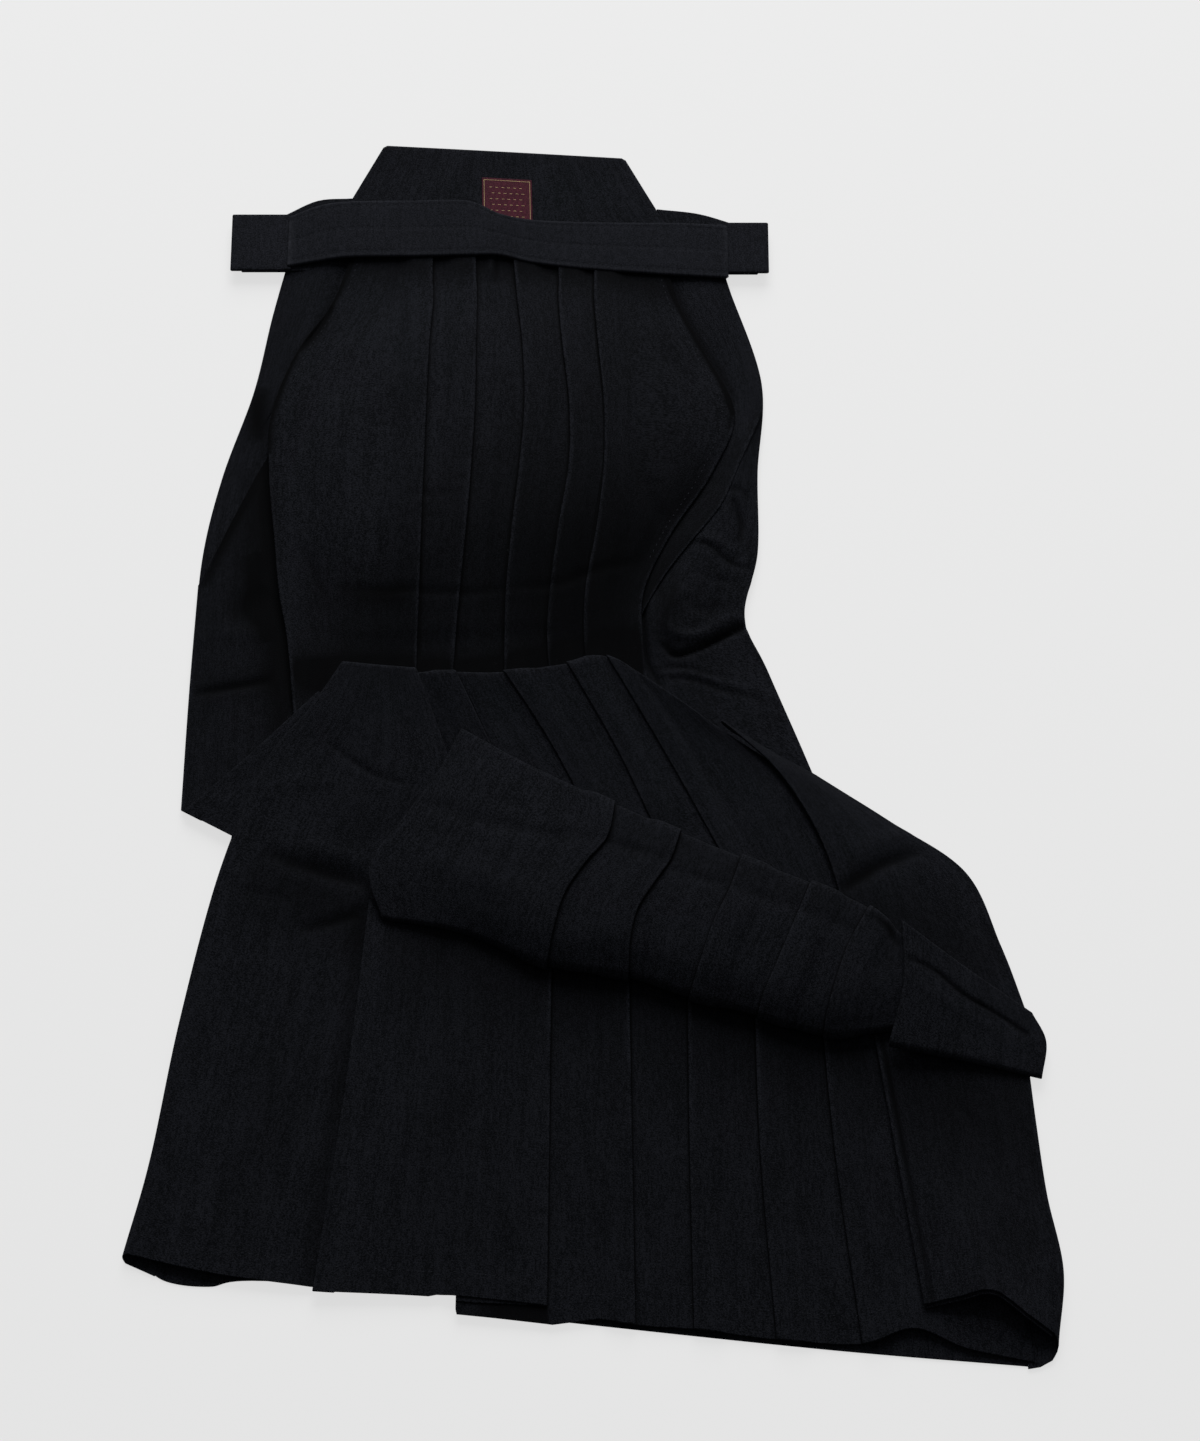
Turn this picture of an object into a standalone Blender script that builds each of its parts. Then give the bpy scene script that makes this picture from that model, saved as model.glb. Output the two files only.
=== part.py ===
# A hakama laid on a flat surface and folded back on itself twice across its length.
# The frame has +X to the right, +Y towards the waist and +Z up. The origin is on the
# surface, under the middle of the outline. Sizes are in millimetres until a mesh is made.
# A line is the middle of a wall: points spaced evenly along the cloth, from the waist down.

import math

import bpy
import numpy as np

MM = 0.001
MIDDLE = (-4.6, 1.2, 0.0)  # middle of the outline in the frame of the tables below
CLOTH_WALL = 1.0        # wall of the pleated cloth
LAYER = 1.4             # distance between the middles of two touching layers
BACK_WALL = 1.2         # wall of the back, which lies on the surface
TIE_WALL = 1.3          # wall of a tie, which is several layers sewn together
BAND_THICK = 3.0
BOARD_THICK = 5.0
LABEL_THICK = 0.6

FOLD_STEPS = 3          # straight pieces in each half-round fold
EDGE_TUCK = 14.0        # cloth turned under at an open edge or a side fold
INNER_TUCK = 10.0       # cloth turned under at an edge inside the folded garment
PLEAT_RISE = 9.0        # length over which a panel settles beside the layers of a pleat
PLEAT_REACH = 1.0       # flat length of its top layer beyond the fold beneath
PANEL_REST = 0.3        # height at which the panel has settled
FOLD_TUCK = 12.0        # cloth turned under at a fold across the garment
SHORT_TUCK = 6.0        # the same on the right leg's side cloth, at the top of a stretch
END_TUCK = 3.0          # and at its lower end

RIDGE_BEND = 3.0        # radius of the fold across the front at the first ridge
STRIP_TOP_BEND = (1.6, 3.0, 3.0, 3.0, 3.0, 3.0, 3.0, 3.0)
STRIP_LOW_BEND = (2.4, 4.5, 5.5, 5.5, 5.5, 5.5, 5.5, 5.0)
SIDE_LEFT_BEND = (5.8, 5.8, 5.8)
SIDE_MIDDLE_BEND = (2.4, 2.4, 2.2)
SIDE_STRIP_TOP_BEND = (2.4, 2.3, 2.2)
SIDE_STRIP_LOW_BEND = (3.5, 3.0, 2.2)
BACK_TIE_BEND = (0.8, 0.8, 0.8)

BAND_ROUND = 0.8        # rounding of the band's edges
BOARD_ROUND = 1.0

# Cross sections of each stretch between its folds.
SECTIONS = {
    "front_upper": 12, "front_middle": 6, "front_strip": 6, "front_lower": 8,
    "side_left_upper": 8, "return_left": 5, "side_left_lower": 13,
    "side_right_upper": 13, "side_right_middle": 8, "side_right_strip": 5, "side_right_lower": 9,
    "back_upper_left": 13, "back_upper_right": 13, "back_lower_left": 9, "back_lower_right": 11,
    "koshiita": 4, "label": 2, "back_tie": 3,
}

CORE_BASE = 1.5         # underside of the hidden layers, on the back
CORE_LAYERS = 3         # layers that show at their edges
CORE_NOTCH = 1.2        # depth of the notch between two of them
CORE_ACROSS = (0.0, 0.03, 0.12, 0.3, 0.5, 0.7, 0.88, 0.97, 1.0)
CORE_ROUNDING = (0.35, 0.75, 1.0, 1.0, 1.0, 1.0, 1.0, 0.75, 0.35)

LOWER_CORE_LINES = 7    # lines of the last stretch that lie over hidden layers

# Where the solid of hidden layers lies under each stretch of cloth.
HIDDEN_LAYERS = {
    # name: (first share, last share, sections, left inset, right inset, clearance)
    "upper": (0.14, 0.93, 8, 34.0, 46.0, 1.2),
    "middle": (0.34, 0.90, 6, 10.0, 48.0, 1.6),
    "strip": (0.36, 0.60, 4, 52.0, 45.0, 1.2),
    "lower": (0.06, 0.80, 5, 42.0, 2.0, 0.9),
}
# Their left edge in the second stretch, under the side cloth of the left leg.
MIDDLE_CORE_EDGE = ((-158, 30, 20.0), (-166, -8, 13.5), (-176, -46, 7.0))

NAVY = (0.010, 0.011, 0.015, 1.0)
MAROON = (0.085, 0.012, 0.028, 1.0)

# Waistband, a row per section: x, y of its middle, z of its middle, half its height.
WAISTBAND = (
    (-228.5, 385.0, 9.0, 20.0),
    (-207.0, 391.0, 10.4, 22.5),
    (-184.0, 393.5, 12.2, 22.5),
    (-140.0, 394.0, 12.4, 22.5),
    (-98.0, 394.5, 12.4, 22.0),
    (-74.0, 389.0, 12.4, 16.5),
    (-50.0, 383.0, 12.4, 17.0),
    (-13.0, 379.5, 12.4, 18.5),
    (30.0, 377.5, 12.2, 20.0),
    (60.0, 377.0, 11.0, 21.0),
    (93.0, 376.0, 9.0, 21.0),
)

# Folded front ties: x where the tie leaves the band, x of its outer fold, and y of its edges.
TIE_FOLDS = {
    "tie_fold_left": {"inner": -228.8, "outer": -271.0, "high": 408.0, "low": 362.0},
    "tie_fold_right": {"inner": 93.3, "outer": 123.5, "high": 401.0, "low": 360.0},
}
TIE_TOP = 8.3           # height of the uppermost layer of a folded tie
TIE_BEND = 0.9          # radius of its folds
TIE_HIDDEN = 16.0       # length of its folded end under the band

# Back ties, folded under beside the back board: lines from the folded edge downwards.
BACK_TIE_LEFT = {
    "outer": ((-232, 412, 2.6), (-231, 398, 2.6)),
    "middle": ((-209, 424, 2.6), (-212, 398, 2.6)),
    "inner": ((-184, 426, 2.6), (-196, 398, 2.6)),
}
BACK_TIE_RIGHT = {
    "inner": ((44, 416, 2.6), (53, 395, 2.6)),
    "middle": ((73, 412.5, 2.6), (76, 393, 2.6)),
    "outer": ((101, 403, 2.6), (100, 388, 2.6)),
}

# Back board: left and right edges, from its top to its sewn lower edge.
BACK_BOARD = {
    "left": ((-159.5, 469.5, 2.5), (-183.5, 421.0, 2.5), (-200.0, 386.0, 2.5)),
    "right": ((17.0, 458.5, 2.5), (41.0, 413.0, 2.5), (56.0, 386.0, 2.5)),
}

LABEL = {
    "left": ((-87.5, 442.5, 5.6), (-87.0, 422.0, 5.6), (-86.5, 402.0, 5.6)),
    "right": ((-51.0, 440.0, 5.6), (-50.5, 420.0, 5.6), (-50.0, 400.0, 5.6)),
}

# Upper front, a row per section from the band down: y, then x of each line.
UPPER_FRONT_X = (
    # y, left, rib, pleat_1, pleat_2, pleat_3, pleat_4, pleat_5, rib, right
    (388, -179, -150, -123, -92, -65, -31, -5, 15, 38),
    (354, -188, -153, -123, -91, -62, -30, -4, 24, 51),
    (330, -197, -159, -122, -90, -60, -30, -4, 31, 62),
    (290, -221, -172, -124, -90, -56, -27, -1, 42, 79),
    (240, -237, -181, -125, -90, -54, -22, 3, 54, 97),
    (190, -237, -182, -126, -92, -57, -22, 3, 46, 80),
    (142, -232, -180, -127, -95, -62, -29, -2, 28, 51),
    (96, -227, -178, -128, -99, -66, -35, -10, 12, 31),
    (58, -220, -175, -129, -102, -67, -37, -11, 12, 30),
    (18, -213, -172, -129, -104, -67, -34, -8, 15, 34),
)

# Upper front, height of the cloth on the same lines and sections.
UPPER_FRONT_Z = (
    # left, rib, pleat_1, pleat_2, pleat_3, pleat_4, pleat_5, rib, right
    (8.0, 7.0, 6.4, 6.2, 6.2, 6.2, 6.4, 7.0, 8.0),
    (8.4, 7.4, 7.0, 7.0, 7.0, 7.0, 7.0, 7.4, 8.0),
    (8.6, 10.5, 12.0, 12.5, 12.5, 12.5, 12.0, 10.5, 8.6),
    (8.8, 15.5, 18.5, 19.5, 20.0, 19.5, 18.5, 15.0, 9.5),
    (9.2, 18.0, 22.0, 23.0, 23.5, 23.0, 22.0, 17.0, 10.5),
    (9.6, 18.5, 23.0, 24.0, 24.5, 24.0, 22.5, 17.5, 12.0),
    (9.6, 17.0, 21.0, 22.0, 22.0, 21.5, 20.0, 16.5, 12.5),
    (9.2, 13.0, 15.5, 16.0, 16.0, 15.5, 15.0, 13.5, 12.0),
    (8.8, 9.6, 10.5, 11.0, 11.0, 11.0, 10.5, 10.5, 10.5),
    (8.6, 8.4, 8.4, 8.4, 8.4, 8.4, 8.4, 8.8, 9.2),
)

# The two left pleats face right and the three right ones face left, so that the
# middle panel of the front is the lowest.
FACES_RIGHT = 1
FACES_LEFT = -1
UPPER_UNDER = 11.0      # depth of a pleat above the second fold
LOWER_UNDER = 14.0      # depth of a pleat below it
DEEP_UNDER = 60.0       # depth of the first pleat at the hem

# Fold lines of the second stretch, from the first ridge to under the second fold.
MIDDLE_FRONT = {
    "pleat_1": ((-128, 27, 23.0), (-115, -8, 16.6), (-86, -52, 10.0)),
    "pleat_2": ((-101, 27, 24.0), (-82, -13, 16.4), (-56, -68, 10.0)),
    "pleat_3": ((-67, 27, 24.0), (-34, -25, 16.0), (0, -92, 10.0)),
    "pleat_4": ((-23, 33, 25.0), (12, -30, 16.5), (48, -110, 10.0)),
    "pleat_5": ((5, 38, 25.0), (45, -32, 16.5), (93, -124, 10.0)),
    "rib": ((46, 12, 24.5), (88, -42, 16.0), (130, -135, 10.0)),
    "edge": ((79, -13, 21.5), (115, -52, 15.0), (150, -142, 10.0)),
    "under_flap": ((113, -34, 13.5), (147, -66, 10.5), (177, -150, 8.5)),
}

# Strip that the second fold leaves on top: from its upper fold to its rolled lower edge.
STRIP_FRONT = {
    "left": ((-96, -17, 24.0), (-112, -50, 23.0), (-134, -82, 21.0), (-158, -118, 18.5),
             (-149, -155, 17.0)),
    "rib": ((-46, -47, 26.5), (-75, -105, 26.5), (-96, -165, 23.0)),
    "pleat_1": ((11, -74, 27.0), (-12, -121, 28.0), (-37, -183, 24.0)),
    "pleat_2": ((55, -96, 27.0), (40, -140, 28.0), (18, -194, 24.0)),
    "pleat_3": ((98, -114, 27.0), (81, -158, 28.0), (60, -209, 24.0)),
    "pleat_4": ((144, -134, 27.0), (129, -176, 28.0), (107, -222, 24.0)),
    "pleat_5": ((181, -152, 26.0), (168, -193, 27.0), (153, -235, 24.0)),
    "under_flap": ((207, -172, 22.5), (212, -206, 22.5), (201, -236, 21.0)),
}

# Last stretch of the front, from under the roll to the hem.
LOWER_FRONT = {
    "left": ((-158, -140, 9.0), (-171, -275, 8.4), (-189, -417, 7.4)),
    "rib": ((-97, -142, 6.8), (-104, -280, 6.4), (-113, -424, 5.0)),
    "pleat_1": ((-33, -150, 5.4), (-34, -290, 5.2), (-35, -436, 3.6)),
    "pleat_2": ((19, -160, 5.4), (21, -300, 5.0), (23, -439, 3.4)),
    "pleat_3": ((60, -170, 5.4), (60, -305, 5.0), (62, -442, 3.4)),
    "pleat_4": ((105, -185, 5.4), (107, -315, 5.0), (116, -449, 3.4)),
    "pleat_5": ((149, -200, 5.4), (157, -320, 5.0), (172, -452, 3.4)),
    "arch": ((184, -212, 4.6), (192, -328, 4.4), (206, -442, 5.8)),
    "under_flap": ((226, -226, 3.6), (230, -335, 3.4), (240, -455, 4.4)),
    "under_end": ((272, -240, 2.6), (274, -340, 2.6), (284, -464, 2.6)),
}
HEM_STEP = 11.0         # how far the first panel's hem stays behind the layers under it
DEEP_DROP = 7.0         # how far the inner fold of the deep pleat hangs below its line

# Side cloth of the left leg, above the first fold: outer side fold, rib, and the edge
# hidden under the front.
SIDE_LEFT_UPPER = {
    "outer": ((-285, 104, 3.7), (-288, 20, 3.7), (-290, -70, 3.7)),
    "rib": ((-254, 176, 4.8), (-250, 50, 5.2), (-246, -92, 4.0)),
    "inner": ((-222, 246, 4.2), (-209, 128, 4.6), (-203, 10, 4.6), (-224, -102, 4.0)),
}

# The same leg where it runs back up between the two folds, seen as a corner.
RETURN_LEFT = {
    "outer": ((-288, -72, 6.6), (-243, -30, 9.6), (-197, 15, 12.6)),
    "inner": ((-240, -98, 6.6), (-215, -55, 9.6), (-172, -8, 12.6)),
}

# Side cloth of the left leg from the ridge to the hem.
SIDE_LEFT_LOWER = {
    "outer": ((-179, 36, 24.0), (-203, 0, 18.5), (-231, -36, 14.0), (-261, -118, 9.8),
              (-284, -225, 7.4), (-300, -325, 6.8), (-315, -391, 7.0)),
    "rib": ((-158, 33, 25.5), (-165, -8, 20.0), (-178, -48, 15.0), (-205, -130, 8.2),
            (-224, -232, 6.4), (-242, -330, 6.2), (-252, -408, 6.2)),
    "inner": ((-129, 30, 26.2), (-115, -8, 19.8), (-104, -48, 13.5), (-124, -135, 4.6),
              (-148, -240, 4.4), (-158, -338, 4.2), (-168, -420, 3.8)),
}

# Side cloth of the right leg above the first fold, a point per section.
SIDE_RIGHT_UPPER = {
    "inner": ((24, 354, 5.4), (60, 275, 5.4), (62, 205, 5.4), (22, 130, 6.0),
              (6, 80, 6.0), (8, 48, 5.0), (24, 6, 5.0)),
    "shelf": ((54, 354, 5.4), (88, 275, 6.0), (90, 205, 8.0), (50, 130, 8.6),
              (34, 80, 8.4), (36, 45, 6.4), (56, -6, 6.4)),
    "rib": ((72, 355, 4.6), (104, 270, 6.0), (101, 200, 11.0), (76, 132, 14.0),
            (60, 86, 15.0), (68, 38, 10.0), (92, -22, 7.0)),
    "outer": ((92, 357, 3.7), (117, 268, 3.7), (113, 195, 4.5), (112, 130, 5.0),
              (102, 78, 6.0), (118, 36, 3.7), (149, -46, 3.7)),
}

# Side cloth of the right leg below the first fold, lying over the front's edge.
SIDE_RIGHT_MIDDLE = {
    "edge": ((84, -11, 28.0), (119, -42, 20.0), (142, -76, 16.5), (157, -110, 14.5), (168, -152, 13.4)),
    "rib": ((116, -28, 17.0), (160, -62, 13.0), (196, -100, 11.0), (214, -142, 10.0), (226, -188, 9.0)),
    "outer": ((148, -44, 9.6), (201, -80, 6.0), (251, -117, 5.0), (273, -170, 4.6), (290, -224, 4.2)),
}

# The same cloth on the strip.
SIDE_RIGHT_STRIP = {
    "edge": ((205, -163, 30.5), (205, -207, 27.5), (194, -250, 22.5)),
    "rib": ((248, -193, 19.0), (250, -222, 18.0), (245, -258, 15.0)),
    "outer": ((292, -221, 10.2), (301, -242, 10.2), (297, -268, 10.2)),
}

# The same cloth down to the hem, where it stands open.
SIDE_RIGHT_LOWER = {
    "edge": ((182, -215, 8.6), (196, -310, 8.6), (213, -427, 9.6)),
    "quarter": ((210, -222, 6.8), (220, -318, 8.6), (235, -423, 13.5)),
    "crown": ((238, -230, 6.2), (246, -326, 9.4), (258, -420, 18.0)),
    "shoulder": ((266, -240, 5.2), (272, -332, 8.4), (281, -436, 15.5)),
    "outer": ((288, -250, 3.9), (294, -338, 6.9), (306, -455, 10.0)),
}
HEM_LOOP = 3.8          # radius of its side fold at the hem

# The back, flat on the surface: outer edge and centre seam of each part.
BACK_Z = BACK_WALL / 2
BACK_UPPER_LEFT = {
    "outer": ((-226, 383), (-239, 325), (-251, 262), (-272, 190), (-284, 120), (-286, 30), (-286, -66)),
    "seam": ((-70, 383), (-70, -66)),
}
BACK_UPPER_RIGHT = {
    "seam": ((-69.7, 383), (-69.7, -66)),
    "outer": ((86, 383), (97, 320), (113, 258), (108, 190), (109, 120), (100, 77), (116, 30), (145, -42)),
}
BACK_LOWER_LEFT = {
    "outer": ((-252, -66.5), (-258, -110), (-279, -215), (-295, -320), (-313, -401)),
    "rib": ((-200, -66.5), (-262, -410)),
    "seam": ((-70, -66.5), (-70, -422)),
}
BACK_LOWER_RIGHT = {
    "seam": ((-69.7, -66.5), (-69.7, -431)),
    "rib": ((50, -66.5), (140, -454)),
    "outer": ((145, -42.5), (233, -108), (266, -168), (284, -245), (290, -345), (297, -467)),
}


def clear_scene():
    for item in list(bpy.data.objects):
        bpy.data.objects.remove(item, do_unlink=True)


def make_collection(name):
    group = bpy.data.collections.new(name)
    bpy.context.scene.collection.children.link(group)
    return group


def make_material(name, colour, roughness):
    material = bpy.data.materials.new(name)
    material.use_nodes = True
    shader = material.node_tree.nodes["Principled BSDF"]
    shader.inputs["Base Color"].default_value = colour
    shader.inputs["Roughness"].default_value = roughness
    shader.inputs["Metallic"].default_value = 0.0
    material.diffuse_color = colour
    return material


def curve(points, at):
    """Point and slope at fraction `at` of a smooth curve through evenly spaced points."""
    rows = np.asarray(points, dtype=float)
    last = len(rows) - 1
    place = min(max(at, 0.0), 1.0) * last
    step = min(int(place), last - 1)
    t = place - step
    slopes = np.gradient(rows, axis=0)
    a, b = rows[step], rows[step + 1]
    da, db = slopes[step], slopes[step + 1]
    point = (
        a * (2 * t**3 - 3 * t**2 + 1) + da * (t**3 - 2 * t**2 + t)
        + b * (3 * t**2 - 2 * t**3) + db * (t**3 - t**2)
    )
    slope = (
        a * (6 * t**2 - 6 * t) + da * (3 * t**2 - 4 * t + 1)
        + b * (6 * t - 6 * t**2) + db * (3 * t**2 - 2 * t)
    )
    return point, slope


def plan_length(points):
    samples = np.array([curve(points, at)[0][:2] for at in np.linspace(0, 1, 13)])
    return float(np.linalg.norm(np.diff(samples, axis=0), axis=1).sum())


def bend(line, centre, height, radius, start, turn):
    """Half-round fold across a wall: (line, share of panel, offset, height) points."""
    angles = np.radians(start + turn * np.linspace(0, 1, FOLD_STEPS + 1))
    return [(line, 0.0, centre + radius * math.cos(a), height + radius * math.sin(a)) for a in angles]


def pleat(line, faces, under):
    """Knife pleat on a fold line: top fold, return layer and under fold."""
    half = LAYER / 2
    if faces == FACES_RIGHT:
        return (
            [(line, 0.0, -under - PLEAT_RISE, PANEL_REST), (line, 0.0, -under - PLEAT_REACH, 2 * LAYER)]
            + bend(line, -half, 3 * half, half, 90, -180)
            + bend(line, half - under, half, half, 90, 180)
        )
    return (
        bend(line, under - half, half, half, -90, 180)
        + bend(line, half, 3 * half, half, -90, -180)
        + [(line, 0.0, under + PLEAT_REACH, 2 * LAYER), (line, 0.0, under + PLEAT_RISE, PANEL_REST)]
    )


def left_fold(line, tuck, radius=LAYER / 2):
    """Edge that faces left and turns under."""
    return [(line, 0.0, tuck, -2 * radius)] + bend(line, radius, -radius, radius, -90, -180)


def right_fold(line, tuck, radius=LAYER / 2):
    """Edge that faces right and turns under."""
    return bend(line, -radius, -radius, radius, 90, -180) + [(line, 0.0, -tuck, -2 * radius)]


def run(count, start=0.0, end=1.0):
    """Stations along a stretch: (kind, share of the stretch, tuck)."""
    return [("run", at, 0.0) for at in np.linspace(start, end, count)]


def top_fold(tuck):
    """Stations of a fold at the top: a tucked end, then the half round."""
    turns = np.linspace(180, 0, FOLD_STEPS + 2)[:-1]
    return [("top", 180.0, tuck)] + [("top", turn, 0.0) for turn in turns]


def low_fold(tuck):
    """Stations of a roll at the lower edge: the half round, then a tucked end."""
    turns = np.linspace(0, 180, FOLD_STEPS + 2)[1:]
    return [("low", turn, 0.0) for turn in turns] + [("low", 180.0, tuck)]


def line_frame(points, station, top_radius, low_radius):
    """Point, direction along the cloth and outward normal of one line at a station."""
    kind, value, tuck = station
    length = plan_length(points)
    turn = 0.0
    if kind == "top":
        turn = math.radians(value)
        share = (top_radius * (1 - math.sin(turn)) + tuck) / length
        drop = top_radius * (math.cos(turn) - 1)
    elif kind == "low":
        turn = -math.radians(value)
        share = 1 - (low_radius * (1 + math.sin(turn)) + tuck) / length
        drop = low_radius * (math.cos(turn) - 1)
    else:
        first = top_radius / length
        last = 1 - low_radius / length
        share = first + (last - first) * value
        drop = 0.0
    point, slope = curve(points, share)
    along = np.array([slope[0], slope[1], 0.0])
    along /= np.linalg.norm(along)
    normal = np.array([0.0, 0.0, 1.0]) * math.cos(turn) - along * math.sin(turn)
    return point + np.array([0.0, 0.0, drop]), along, normal


def cloth_grid(lines, path, stations, top_radii=None, low_radii=None, end_path=None, hem_steps=None):
    """Middle surface of a wall: each station crosses the lines along the path.

    A path that ends as `end_path` changes into it evenly along the stretch, and
    `hem_steps` moves each of its points along the cloth near the last station.
    """
    count = len(lines)
    top_radii = top_radii or (0.0,) * count
    low_radii = low_radii or (0.0,) * count
    grid = []
    for station in stations:
        frames = [line_frame(lines[k], station, top_radii[k], low_radii[k]) for k in range(count)]
        progress = {"top": 0.0, "low": 1.0}.get(station[0], station[1])
        row = []
        for index, (k, share, offset, height) in enumerate(path):
            if end_path:
                offset += (end_path[index][2] - offset) * progress
                height += (end_path[index][3] - height) * progress
            point, along, normal = frames[k]
            ahead = min(k + 1, count - 1)
            if offset < 0 and k > 0:
                ahead = k
            across = frames[ahead][0] - frames[ahead - 1][0]
            spot = point + across * share + across / np.linalg.norm(across) * offset + normal * height
            if hem_steps is not None:
                spot = spot + along * hem_steps[index] * progress**6
            row.append(spot)
        grid.append(row)
    return np.array(grid)


def wall_object(name, grid, wall, material, group, bevel=0.0):
    """Open grid given its thickness by Solidify, half to each side."""
    rows, columns = grid.shape[:2]
    faces = [
        (r * columns + c, (r + 1) * columns + c, (r + 1) * columns + c + 1, r * columns + c + 1)
        for r in range(rows - 1)
        for c in range(columns - 1)
    ]
    piece = mesh_object(name, grid.reshape(-1, 3), faces, material, group)
    solid = piece.modifiers.new("wall", "SOLIDIFY")
    solid.thickness = wall * MM
    solid.offset = 0.0
    solid.use_even_offset = True
    solid.use_quality_normals = True
    if bevel:
        edge = piece.modifiers.new("edge", "BEVEL")
        edge.width = bevel * MM
        edge.segments = 2
        edge.limit_method = "ANGLE"
        edge.angle_limit = math.radians(50)
    return piece


def mesh_object(name, points, faces, material, group):
    mesh = bpy.data.meshes.new(name)
    mesh.from_pydata(((np.asarray(points) - MIDDLE) * MM).tolist(), [], faces)
    mesh.materials.append(material)
    piece = bpy.data.objects.new(name, mesh)
    group.objects.link(piece)
    return piece


def table_lines(table):
    return [np.array(points, dtype=float) for points in table.values()]


def flat_lines(table):
    """Lines of a part that lies flat on the surface, given by x and y only."""
    return [np.array([(x, y, BACK_Z) for x, y in points], dtype=float) for points in table.values()]


def upper_lines():
    columns = len(UPPER_FRONT_X[0]) - 1
    return [
        np.array([(row[k + 1], row[0], heights[k])
                  for row, heights in zip(UPPER_FRONT_X, UPPER_FRONT_Z)], dtype=float)
        for k in range(columns)
    ]


def panel_path(first, last):
    """Plain cloth from one line to another, with a point in the middle of each panel."""
    path = [(first, 0.0, 0.0, 0.0)]
    for k in range(first, last):
        path += [(k, 0.5, 0.0, 0.0), (k + 1, 0.0, 0.0, 0.0)]
    return path


def left_end(line, under):
    """End of the left leg's front, hidden under the middle pleat."""
    return [(line, 0.0, 0.0, 0.0), (line, 0.0, under, 0.0)]


def right_start(line, under):
    """Start of the right leg's front, which folds over that end to make the middle pleat."""
    half = LAYER / 2
    return (
        [(line, 0.0, under, LAYER)]
        + bend(line, half, 3 * half, half, -90, -180)
        + [(line, 0.0, under + PLEAT_REACH, 2 * LAYER), (line, 0.0, under + PLEAT_RISE, PANEL_REST)]
    )


def side_panel(line):
    """Side fold that faces left, and the wide panel beside it."""
    return left_fold(line, EDGE_TUCK) + [(line, 0.5, 0.0, 0.0), (line + 1, 0.0, 0.0, 0.0)]


def sheet(name, table, stations, material, group, fold_left=0.0, fold_right=0.0,
          right_radii=(LAYER / 2, LAYER / 2), top_radii=None, low_radii=None):
    """One side cloth: plain between its lines, with folds at the sides that turn under."""
    lines = table_lines(table)
    last = len(lines) - 1
    paths = []
    for radius in right_radii:
        path = panel_path(0, last)
        if fold_left:
            path = left_fold(0, fold_left) + path[1:]
        if fold_right:
            path = path[:-1] + right_fold(last, fold_right, radius)
        paths.append(path)
    grid = cloth_grid(lines, paths[0], stations, top_radii, low_radii, end_path=paths[1])
    return wall_object(name, grid, CLOTH_WALL, material, group)


def hidden_layers(name, lines, material, group):
    """Rounded solid for the layers hidden inside one stretch of the folded cloth.

    Each section follows the cloth above it at the given clearance and stands on the
    back. Its sides are notched, so that the layers show at the edges.
    """
    across = np.array(CORE_ACROSS)
    rounding = np.array(CORE_ROUNDING)
    first, end, sections, left_inset, right_inset, clearance = HIDDEN_LAYERS[name]
    shares = np.linspace(first, end, sections)
    count = len(across)
    notches = 2 * CORE_LAYERS + 1
    points = []
    for share in shares:
        spots = np.array([curve(line, share)[0] for line in lines])
        steps = np.linalg.norm(np.diff(spots[:, :2], axis=0), axis=1)
        place = np.concatenate([[0.0], np.cumsum(steps)])
        at = left_inset + (place[-1] - left_inset - right_inset) * across
        x, y, z = (np.interp(at, place, spots[:, axis]) for axis in range(3))
        top = CORE_BASE + (z - clearance - CORE_BASE) * rounding
        outward = np.array([x[-1] - x[0], y[-1] - y[0]])
        outward /= np.linalg.norm(outward)
        points += [(x[i], y[i], CORE_BASE) for i in range(count)]
        for side, i in ((1, count - 1), (-1, 0)):
            if side < 0:
                points += [(x[j], y[j], top[j]) for j in reversed(range(count))]
            for n in range(1, notches):
                depth = CORE_NOTCH if n % 2 else 0.0
                level = CORE_BASE + (top[i] - CORE_BASE) * n / notches
                points.append((x[i] - side * outward[0] * depth, y[i] - side * outward[1] * depth, level))
            if side < 0:
                points[1 - notches:] = reversed(points[1 - notches:])
    ring = 2 * count + 2 * (notches - 1)
    faces = []
    for r in range(len(shares) - 1):
        for c in range(ring):
            d = (c + 1) % ring
            faces.append((r * ring + c, r * ring + d, (r + 1) * ring + d, (r + 1) * ring + c))
    last = (len(shares) - 1) * ring
    top_left = ring - notches
    for start, flip in ((0, True), (last, False)):
        caps = [[i, i + 1, top_left - i - 1, top_left - i] for i in range(1, count - 2)]
        caps.append(list(range(count - 2, count + notches + 1)))
        caps.append([0, 1] + list(range(top_left - 1, ring)))
        for cap in caps:
            corners = [start + i for i in cap]
            faces.append(tuple(reversed(corners)) if flip else tuple(corners))
    return mesh_object("hidden_layers_" + name, points, faces, material, group)


def build_upper_front(cloth, group):
    lines = upper_lines()
    under = UPPER_UNDER
    left = (
        side_panel(0) + pleat(2, FACES_RIGHT, under) + pleat(3, FACES_RIGHT, under)
        + left_end(4, under)
    )
    right = (
        right_start(4, under) + pleat(5, FACES_LEFT, under) + pleat(6, FACES_LEFT, under)
        + [(7, 0.0, 0.0, 0.0)] + right_fold(8, EDGE_TUCK)
    )
    for name, path in (("front_upper_left", left), ("front_upper_right", right)):
        grid = cloth_grid(lines, path, run(SECTIONS["front_upper"]))
        wall_object(name, grid, CLOTH_WALL, cloth, group)


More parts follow.
